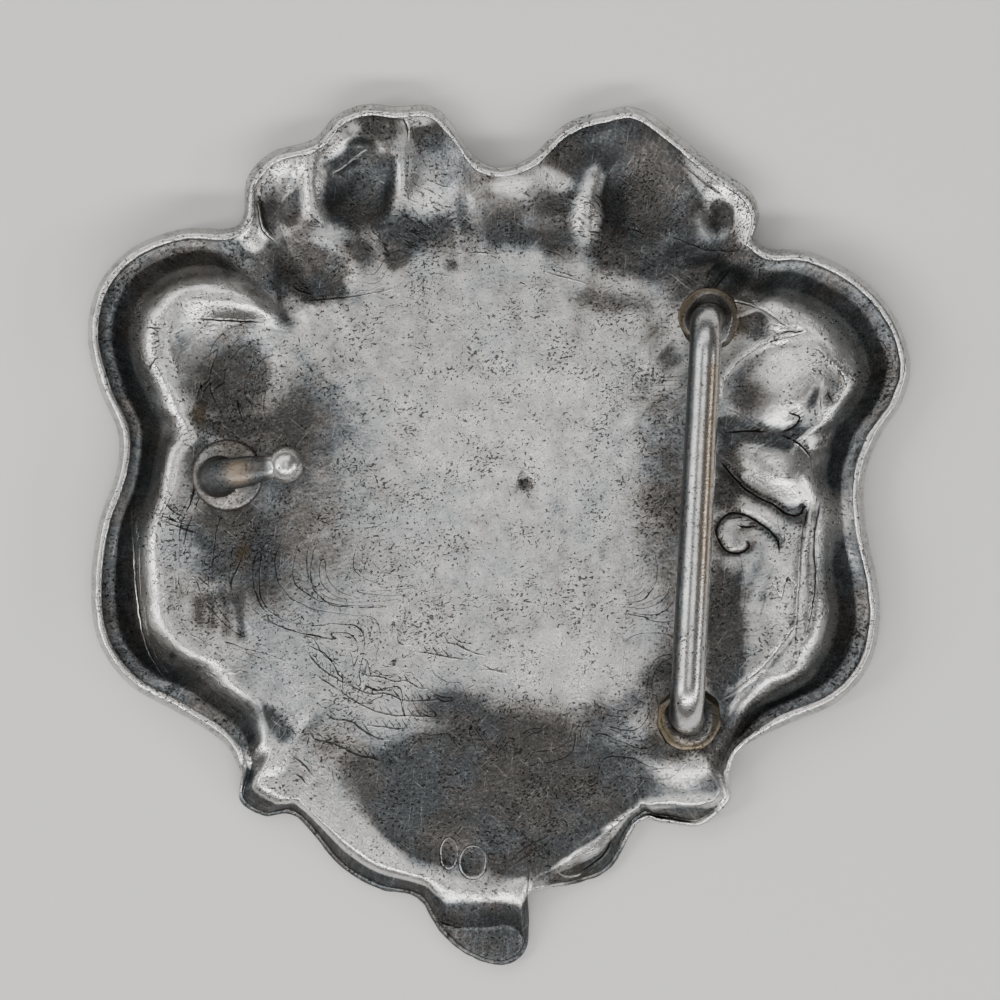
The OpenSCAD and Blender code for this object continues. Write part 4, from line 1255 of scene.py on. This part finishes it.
# %% The hook from its foot to its knob
ROOT_FROM = 0.49
FOOT_T = 0.7
ROOT_BACK = 0.75
ROOT_R = 2.3
ROOT_H = 2.2
ROOT_RINGS = 18
STEM_D = 2.7
WAIST_D = 2.1
STEM_RINGS = 14
HOOK_RISE = 4.7
HOOK_BEND = 2.2
BEND_FULLNESS = 1.02
HOOK_BEND_RINGS = 20
HOOK_REACH = 6.1
KNOB_D = 3.1
KNOB_START = -44
KNOB_RINGS = 22
NECK_SHARE = 0.72
TIP_R = 0.02
# How much the foot's rounded edge is drawn in, and its height
FOOT_EDGE = [(0.12, 0), (0, 0.12), (0, 0.3), (0.05, 0.45), (0.2, 0.58), (0.45, 0.66)]

for drawn_in, z in FOOT_EDGE:
    hook_ring(0, z, 0, FOOT_R - drawn_in)
for t in steps(ROOT_RINGS):
    height = FOOT_T + (ROOT_H - FOOT_T) * t
    hook_ring(-ROOT_BACK, height, 0, float(fillet_radius(height - ROOT_FROM, STEM_D / 2, ROOT_R, ROOT_H)))
for lean in np.linspace(0, 90, HOOK_BEND_RINGS):
    a = math.radians(lean)
    x = HOOK_BEND * (1 - math.cos(a)) - ROOT_BACK
    z = HOOK_RISE - HOOK_BEND + HOOK_BEND * math.sin(a)
    hook_ring(x, z, lean, mix(STEM_D, STEM_D * BEND_FULLNESS, math.sin(2 * a)) / 2)
knob_x = HOOK_REACH - ROOT_BACK
neck_x = knob_x - KNOB_D / 2 * NECK_SHARE
for t in steps(STEM_RINGS):
    hook_ring(mix(HOOK_BEND - ROOT_BACK, neck_x, t), HOOK_RISE, 90, mix(STEM_D, WAIST_D, ease(t)) / 2)
for lean in np.linspace(KNOB_START, 90, KNOB_RINGS):
    a = math.radians(lean)
    hook_ring(knob_x + KNOB_D / 2 * math.sin(a), HOOK_RISE, 90, max(TIP_R, KNOB_D / 2 * math.cos(a)))
hook_grid = ringed(hook_rings, hook_side, HOOK_SIDES)
hook_ends = np.array([hook_rings[0][0], hook_rings[-1][0]])
hook_points = np.vstack([hook_grid.reshape(-1, 3), hook_ends])
print("hook of", len(hook_rings), "rings")

# %% The hook's rough foot, its tarnish and its yellow patch
ROUGH_TOP = 0.6
ROUGH_FADE = 0.8
ROUGH_LUMP = 0.06
ROUGH_LUMP_SIZE = 0.5
ROUGH_FROM = 0.2
HOOK_SEED = 5.0
HOOK_TARNISH = 0.78
FOOT_SHINE = 0.1
KNOB_SHINE = 0.7
KNOB_FROM = 3.4
FOOT_STAIN = 0.35
PATCH_AT = 1.1
PATCH_TOP = 5.0
PATCH_FADE = 0.8
PATCH_BRASS = 0.8
hook_height = hook_points[:, 2] - hook_low[2]
rough_foot = 1 - ease((hook_height - ROUGH_TOP) / ROUGH_FADE)
rough = rough_foot * (hook_height > ROUGH_FROM)
hook_points[:, 2] += ROUGH_LUMP * rough * lumps(hook_points, ROUGH_LUMP_SIZE, HOOK_SEED)
hook_u = (hook_points - hook_centre) @ hook_way
yellow = PATCH_BRASS * np.exp(-((hook_u - PATCH_AT) ** 2)) * ease((hook_height - PATCH_TOP) / PATCH_FADE)
hook = mesh_piece("hook_stud", hook_points, closed_faces(len(hook_rings), HOOK_SIDES), {
    "darkness": np.clip(HOOK_TARNISH - FOOT_SHINE * rough_foot - KNOB_SHINE * ease(hook_u - KNOB_FROM), 0, 1),
    "stain": np.clip(FOOT_STAIN * rough_foot, 0, 1),
    "brass": yellow,
})
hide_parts("hook")

# %% [markdown]
# ## The finish
# Old silver is two things at once: bright metal where it is rubbed and a dark film where it is not. One
# shader can be both. A fine noise is compared with the number of the mesh that holds the tarnish together
# with the painted highlights and painted shade, so a low number leaves a few dark specks and a high one
# leaves a few bright ones. The film is duller than the metal. The bumps are stacked from the finest grain to
# the pits and the drawn lines.

# %% Helpers for node materials


def add(tree, kind, inputs=None, **settings):
    """Adds a node. A socket given as an input is linked, and any other value is set."""
    made = tree.nodes.new("ShaderNode" + kind)
    for key, value in settings.items():
        setattr(made, key, value)
    for key, value in (inputs or {}).items():
        if isinstance(value, bpy.types.NodeSocket):
            tree.links.new(value, made.inputs[key])
        else:
            made.inputs[key].default_value = value
    return made


def calc(tree, operation, a, b=0.0, clamp=False):
    return add(tree, "Math", {0: a, 1: b}, operation=operation, use_clamp=clamp).outputs[0]


def plus(tree, a, b):
    return calc(tree, "ADD", a, b)


def minus(tree, a, b):
    return calc(tree, "SUBTRACT", a, b)


def times(tree, a, b):
    return calc(tree, "MULTIPLY", a, b)


def remap(tree, value, low, high, to_low=0.0, to_high=1.0, smooth=False):
    return add(tree, "MapRange", {0: value, 1: low, 2: high, 3: to_low, 4: to_high},
               interpolation_type="SMOOTHSTEP" if smooth else "LINEAR").outputs[0]


def scaled(tree, vector, by):
    return add(tree, "VectorMath", {0: vector, 3: by}, operation="SCALE").outputs[0]


def moved(tree, vector, by):
    return add(tree, "VectorMath", {0: vector, 1: by}, operation="ADD").outputs[0]


def blend_colour(tree, share, a, b):
    return add(tree, "Mix", {0: share, 6: a, 7: b}, data_type="RGBA").outputs[2]


def read(tree, name):
    return add(tree, "Attribute", attribute_name=name).outputs["Fac"]


# %% Tones of the finish
BRIGHT = (0.87, 0.855, 0.83, 1)
COOL_HAZE = (0.5, 0.525, 0.54, 1)
WARM_HAZE = (0.5, 0.475, 0.45, 1)
WARM_FILM = (0.098, 0.093, 0.089, 1)
COOL_FILM = (0.087, 0.092, 0.096, 1)
DIRT = (0.03, 0.026, 0.022, 1)
BROWN = (0.1, 0.08, 0.052, 1)
SOLDER_BROWN = (0.165, 0.135, 0.09, 1)
BRASS = (0.41, 0.33, 0.245, 1)

# %% Noises of the finish
# Noises that run the same way everywhere: scale per mm, detail and roughness
NOISES = {
    "clouds": (0.16, 5.0, 0.62),
    "patches": (0.6, 6.0, 0.7),
    "specks": (4.5, 2.0, 0.6),
    "grit": (10.0, 2.0, 0.7),
    "pits": (4.2, 1.0, 0.5),
    "crowd": (0.25, 3.0, 0.6),
    "brush": (2.6, 3.0, 0.7),
    "fold": (1.0, 1.0, 0.4),
    "waver": (0.8, 2.0, 0.6),
    "wobble": (0.7, 2.0, 0.6),
}
# Stretched ones: turn in degrees, stretch along and across, then scale, detail and roughness
STROKES = {
    "strokes": (12, 0.9, 3.0, 1.5, 3.0, 0.7),
    "hairs": (-38, 0.22, 6.0, 1.6, 2.0, 0.5),
    "cuts": (20, 0.9, 3.4, 2.3, 2.0, 0.6),
    "scuffs": (-28, 0.55, 2.4, 1.7, 3.0, 0.65),
    "scratches to the right": (-38, 0.2, 5.2, 1.7, 1.0, 0.5),
    "scratches to the left": (52, 0.2, 5.2, 1.7, 1.0, 0.5),
    "scratches upwards": (84, 0.2, 5.2, 1.7, 1.0, 0.5),
}
SCRATCH_FIELDS = ("scratches to the right", "scratches to the left", "scratches upwards")
DRIFT_SCALE = 0.3
DRIFT_DETAIL = 2.0
DRIFT = 1.6


def noise_of(tree, place, name):
    """One of the even noises at a place in mm."""
    scale, detail, roughness = NOISES[name]
    return add(tree, "TexNoise", {
        "Vector": place, "Scale": scale, "Detail": detail, "Roughness": roughness}).outputs[0]


def strokes_of(tree, place, name):
    """One of the stretched noises at a place in mm."""
    turn, stretch_along, stretch_across, scale, detail, roughness = STROKES[name]
    way = add(tree, "Mapping", {
        "Vector": place, "Rotation": (0, 0, math.radians(turn)),
        "Scale": (1 / stretch_along, 1 / stretch_across, 1)}, vector_type="TEXTURE").outputs[0]
    return add(tree, "TexNoise", {
        "Vector": way, "Scale": scale, "Detail": detail, "Roughness": roughness}).outputs[0]


def places(tree):
    """The place on the object in mm, and the same place drifted about, which bends the noises."""
    mm = scaled(tree, add(tree, "TexCoord").outputs["Object"], 1 / MM)
    drift = add(tree, "TexNoise", {"Vector": mm, "Scale": DRIFT_SCALE, "Detail": DRIFT_DETAIL})
    return mm, moved(tree, mm, scaled(tree, drift.outputs["Color"], DRIFT))


# %% Drawn lines and creases
LINE_WIDTH = 0.075
CREASE_SPACING = 0.55
CREASE_LENGTH = 0.09
CREASE_WAVER = 0.06
CREASE_STEP = 0.12
CREASE_WIDTH = 0.009
CREASE_DEPTH = 0.07
CREASE_PATCHES = (0.34, 0.46)
LINE_WOBBLE = 0.3


def drawn_lines(tree, wobble):
    """Depth in mm of the drawn lines, sharp at any mesh size. They are negative where they sink."""
    total = None
    for channel in CHANNELS:
        off = times(tree, plus(tree, read(tree, "away_" + channel), wobble), 1 / LINE_WIDTH)
        sharp = calc(tree, "EXPONENT", times(tree, times(tree, off, off), -1.0))
        depth = times(tree, sharp, read(tree, "depth_" + channel))
        total = depth if total is None else plus(tree, total, depth)
    return total


def creases(tree, mm, patches):
    """The soft folds beside the rim, and the fine creases where a fold reaches one of its even steps."""
    beside_rim = add(tree, "CombineXYZ", {2: times(tree, read(tree, "from_rim"), CREASE_SPACING)}).outputs[0]
    folded = noise_of(tree, moved(tree, scaled(tree, mm, CREASE_LENGTH), beside_rim), "fold")
    folded = plus(tree, folded, times(tree, noise_of(tree, mm, "waver"), CREASE_WAVER))
    crease = remap(tree, calc(tree, "PINGPONG", folded, CREASE_STEP), 0.0, CREASE_WIDTH, 1.0, 0.0)
    crease = times(tree, crease, read(tree, "ripple"))
    crease = times(tree, crease, remap(tree, patches, *CREASE_PATCHES))
    return times(tree, folded, read(tree, "ripple")), crease


def all_lines(tree, mm, patches):
    """Depth in mm of the drawn lines and of the creases, and the soft folds."""
    folded, crease = creases(tree, mm, patches)
    wobble = times(tree, minus(tree, noise_of(tree, mm, "wobble"), 0.5), LINE_WOBBLE)
    return minus(tree, drawn_lines(tree, wobble), times(tree, crease, CREASE_DEPTH)), folded


# %% The dark film
BRUSH_SPACING = 0.25
# How much each noise breaks the film up
BROKEN_BY = {"strokes": 0.3, "specks": 0.35, "patches": 0.2, "grit": 0.15}
# Tarnish and contrast where the film is thin, and where it is thick
THIN_FILM = (0.3, 3.9)
THICK_FILM = (0.8, 1.7)
WIRE_CONTRAST = 1.4
SCRATCHED = (0.68, 0.8)
SCRATCH_SHINE = 0.28
LINE_SHINE = 9.0
FILM_EDGE = (0.25, 1.05)


def rim_strokes(tree, strokes):
    """Turns the strokes into brush marks round the rim, where the plate was brushed."""
    across_rim = times(tree, read(tree, "from_rim"), BRUSH_SPACING)
    rim_way = add(tree, "CombineXYZ", {0: read(tree, "round_x"), 1: read(tree, "round_y"), 2: across_rim})
    brush = noise_of(tree, rim_way.outputs[0], "brush")
    return add(tree, "Mix", {0: read(tree, "brushed"), 2: strokes, 3: brush}, data_type="FLOAT").outputs[0]


def film_share(tree, mm, grains, darkness, lined, line):
    """How much of each place is under the dark film, from 0 to 1."""
    broken = None
    for name, weight in BROKEN_BY.items():
        part = times(tree, grains[name], weight)
        broken = part if broken is None else plus(tree, broken, part)
    contrast = WIRE_CONTRAST
    if lined:
        contrast = remap(tree, darkness, THIN_FILM[0], THICK_FILM[0], THIN_FILM[1], THICK_FILM[1])
    film = plus(tree, times(tree, minus(tree, broken, 0.5), contrast), darkness)
    for field in SCRATCH_FIELDS:
        film = minus(tree, film, remap(tree, strokes_of(tree, mm, field), *SCRATCHED, 0.0, SCRATCH_SHINE))
    if lined:
        film = minus(tree, film, calc(tree, "MAXIMUM", times(tree, line, LINE_SHINE), 0.0))
    return remap(tree, film, *FILM_EDGE, smooth=True)


# %% The tone of the metal
HAZE_CONTRAST = 1.5
HAZE_RANGE = (0.0, 0.7)
LEAST_HAZE = 0.1
CLOUD_RANGE = (0.4, 0.6)
GRAIN_RANGE = (0.3, 0.7)
GRAIN_TONES = (0.68, 1.06)


def haze_share(tree, grains, darkness):
    """How hazy the bright metal is."""
    haze = plus(tree, times(tree, minus(tree, grains["patches"], 0.5), HAZE_CONTRAST), darkness)
    return remap(tree, haze, *HAZE_RANGE, LEAST_HAZE, 1.0)


def metal_tone(tree, grains, haze, film):
    """Bright metal under its haze and its film, with the grain's light and dark on it."""
    warmth = remap(tree, grains["clouds"], *CLOUD_RANGE, smooth=True)
    colour = blend_colour(tree, haze, BRIGHT, blend_colour(tree, warmth, COOL_HAZE, WARM_HAZE))
    colour = blend_colour(tree, film, colour, blend_colour(tree, warmth, COOL_FILM, WARM_FILM))
    fine, coarse = (remap(tree, grains[name], *GRAIN_RANGE, 0.0, 0.5) for name in ("grit", "specks"))
    tone = remap(tree, plus(tree, fine, coarse), 0, 1, *GRAIN_TONES)
    return add(tree, "Mix", {0: 1.0, 6: colour, 7: tone}, data_type="RGBA", blend_type="MULTIPLY").outputs[2]


# %% Pits, cuts and scuffs
CROWD_RANGE = (0.4, 0.62, 0.7, 0.6)
PIT_EDGE = (0.0, 0.04)
CUT_EDGE = (0.01, 0.06)
SCUFF_EDGE = (0.0, 0.05)
SCUFF_LIMITS = (0.78, 0.56)


def holes_in(tree, mm, bent, lined):
    """Small holes that crowd together in places, and on the plate its scuffs."""
    crowd = remap(tree, noise_of(tree, mm, "crowd"), *CROWD_RANGE)
    pits = remap(tree, minus(tree, noise_of(tree, bent, "pits"), crowd), *PIT_EDGE)
    cuts = remap(tree, minus(tree, strokes_of(tree, bent, "cuts"), crowd), *CUT_EDGE)
    holes = calc(tree, "MAXIMUM", pits, cuts)
    if lined:
        limit = remap(tree, read(tree, "scuffed"), 0, 1, *SCUFF_LIMITS)
        scuffs = remap(tree, minus(tree, strokes_of(tree, bent, "scuffs"), limit), *SCUFF_EDGE)
        holes = calc(tree, "MAXIMUM", holes, scuffs)
    return holes


# %% Dirt, stains and yellow metal
HOLE_DIRT = 0.75
STAIN_BREAKUP = 0.8
STAIN_EDGE = (0.6, 1.3)
STAIN_STRENGTH = 0.7
LINE_DIRT = -11.0
WORN_RANGE = (0.3, 0.6, 0.5, 1.0)


def dirtied(tree, colour, holes, grains, lined, line):
    """The metal's colour with dirt in its holes and lines, and with its stains."""
    colour = blend_colour(tree, times(tree, holes, HOLE_DIRT), colour, DIRT)
    stain = plus(tree, read(tree, "stain"), times(tree, grains["patches"], STAIN_BREAKUP))
    stain = remap(tree, stain, *STAIN_EDGE)
    colour = blend_colour(tree, times(tree, stain, STAIN_STRENGTH), colour, BROWN if lined else SOLDER_BROWN)
    if lined:
        colour = blend_colour(tree, calc(tree, "MULTIPLY", line, LINE_DIRT, clamp=True), colour, DIRT)
    return colour


def yellowed(tree, colour, grains):
    """The colour with yellow metal where the silver has worn through."""
    worn = times(tree, read(tree, "brass"), remap(tree, grains["strokes"], *WORN_RANGE))
    return blend_colour(tree, worn, colour, BRASS)


# %% Bumps
# How deep each noise is, as a multiple of the finest grain
BUMPS = {"strokes": 1.2, "hairs": 0.8, "patches": 4.0}
HOLE_DEPTH = -0.05
FOLD_DEPTH = 0.06


def bumped(tree, height, depth, normal=None):
    """A bump in mm on top of another."""
    inputs = {"Strength": 1.0, "Distance": depth * MM, "Height": height}
    if normal:
        inputs["Normal"] = normal
    return add(tree, "Bump", inputs).outputs[0]


def all_bumps(tree, grains, grain, holes, lined, line, folded):
    """The normal, from the finest grain to the holes, and on the plate its lines and soft folds."""
    normal = bumped(tree, grains["specks"], grain)
    for name, depth in BUMPS.items():
        normal = bumped(tree, grains[name], depth * grain, normal)
    normal = bumped(tree, holes, HOLE_DEPTH, normal)
    if lined:
        normal = bumped(tree, line, 1.0, normal)
        normal = bumped(tree, folded, FOLD_DEPTH, normal)
    return normal


# %% Silver with its tarnish
HAZE_ROUGH = 0.08


def silver(name, shine, film_rough, grain, lined):
    """Worn silver. Shine and film_rough are roughnesses, grain is the depth of the finest bumps in mm.

    Lined is true for the plate, which has drawn lines, creases and brush marks. The wires have yellow metal.
    """
    made = bpy.data.materials.new(name)
    made.use_nodes = True
    tree = made.node_tree
    tree.nodes.clear()
    mm, bent = places(tree)
    grains = {key: noise_of(tree, mm, key) for key in ("clouds", "specks", "grit")}
    grains["patches"] = noise_of(tree, bent, "patches")
    grains.update({key: strokes_of(tree, bent, key) for key in ("strokes", "hairs")})
    # This number holds the tarnish together with the painted highlights and the painted shade
    darkness = read(tree, "darkness")
    line, folded = None, None
    if lined:
        grains["strokes"] = rim_strokes(tree, grains["strokes"])
        line, folded = all_lines(tree, mm, grains["patches"])
    film = film_share(tree, mm, grains, darkness, lined, line)
    haze = haze_share(tree, grains, darkness)
    holes = holes_in(tree, mm, bent, lined)
    colour = dirtied(tree, metal_tone(tree, grains, haze, film), holes, grains, lined, line)
    if not lined:
        colour = yellowed(tree, colour, grains)
    rough = remap(tree, haze, 0, 1, shine, shine + HAZE_ROUGH)
    rough = plus(tree, rough, times(tree, film, film_rough - shine))
    normal = all_bumps(tree, grains, grain, holes, lined, line, folded)
    shader = add(tree, "BsdfPrincipled", {
        "Base Color": colour, "Metallic": 1.0, "Roughness": rough, "Normal": normal}).outputs[0]
    add(tree, "OutputMaterial", {"Surface": shader})
    print(name, "has", len(tree.nodes), "nodes")
    return made


pressed_silver = silver("pressed silver", shine=0.26, film_rough=0.4, grain=0.02, lined=True)
drawn_silver = silver("drawn silver wire", shine=0.22, film_rough=0.36, grain=0.006, lined=False)
cast_silver = silver("cast silver stud", shine=0.28, film_rough=0.46, grain=0.01, lined=False)
plate.data.materials.append(pressed_silver)
bar.data.materials.append(drawn_silver)
hook.data.materials.append(cast_silver)

# %% [markdown]
# ## Floor, light and camera
# A plain pale floor and a studio of soft boxes. Polished metal shows its surroundings, so the places of
# the boxes matter more than their strength. One box overhead gives the panel its grey, and the strips at
# the front and the sides draw the bright lines along the crests. The camera looks straight down through a
# long lens from half a metre. From closer by, the bar and the knob would seem to lean outwards more.

# %% Floor
FLOOR_SIZE = 4.0
FLOOR_TONE = (0.8, 0.79, 0.77, 1)
FLOOR_ROUGH = 0.6
bpy.ops.mesh.primitive_plane_add(size=FLOOR_SIZE)
floor = bpy.context.object
floor.name = "floor"
floor_paint = bpy.data.materials.new("pale floor")
floor_paint.use_nodes = True
floor_shader = floor_paint.node_tree.nodes["Principled BSDF"]
floor_shader.inputs["Base Color"].default_value = FLOOR_TONE
floor_shader.inputs["Roughness"].default_value = FLOOR_ROUGH
floor.data.materials.append(floor_paint)

# %% Lights


def soft_box(name, place, target, size, glow):
    """Adds a rectangular area light that faces a target. Glow is its brightness as a mirror would show it."""
    light = bpy.data.lights.new(name, "AREA")
    light.shape = "RECTANGLE"
    light.size, light.size_y = size
    light.energy = glow * math.pi * size[0] * size[1]
    lamp = bpy.data.objects.new(name, light)
    lamp.location = place
    lamp.rotation_euler = (Vector(target) - Vector(place)).to_track_quat("-Z", "Y").to_euler()
    bpy.context.scene.collection.objects.link(lamp)


# Name, place and target in metres, width and length in metres, and glow
BOXES = [
    ("overhead box", (0.03, 0.03, 0.75), (0, 0.02, 0), (0.36, 0.3), 1.35),
    ("front strip", (0, -0.66, 0.72), (0, 0, 0), (1.3, 0.16), 7.5),
    ("left wall", (-0.68, 0.16, 0.62), (0, 0, 0), (0.7, 0.6), 1.3),
    ("left strip", (-0.85, -0.25, 0.7), (0, 0, 0), (0.12, 0.6), 9.0),
    ("right strip", (0.8, -0.3, 0.5), (0, 0, 0), (0.6, 0.16), 5.0),
    ("back wall", (-0.1, 0.64, 0.68), (0, 0, 0), (1.0, 0.5), 1.2),
]
for row in BOXES:
    soft_box(*row)
print(len(BOXES), "soft boxes")

# %% The studio's grey
WORLD_TONE = (0.5, 0.5, 0.5, 1)
WORLD_STRENGTH = 0.3
world = bpy.data.worlds.new("studio")
bpy.context.scene.world = world
world.use_nodes = True
background = world.node_tree.nodes["Background"]
background.inputs["Color"].default_value = WORLD_TONE
background.inputs["Strength"].default_value = WORLD_STRENGTH
bpy.context.scene.view_settings.look = "AgX - Medium High Contrast"
print("world strength", WORLD_STRENGTH)

# %% Camera
CAMERA_HEIGHT = 0.5
RIM_Z = 4 * MM
VIEW_SIZE = 88 * MM
VIEW_CENTRE = (0.09 * MM, 3.12 * MM)
SENSOR_WIDTH = 36
camera_data = bpy.data.cameras.new("camera")
camera_data.sensor_width = SENSOR_WIDTH
camera_data.lens = camera_data.sensor_width * CAMERA_HEIGHT / VIEW_SIZE
camera = bpy.data.objects.new("camera", camera_data)
camera.location = (*VIEW_CENTRE, RIM_Z + CAMERA_HEIGHT)
camera_data.clip_start = 0.01
bpy.context.scene.collection.objects.link(camera)
bpy.context.scene.camera = camera
print("lens", round(camera_data.lens, 1), "mm")
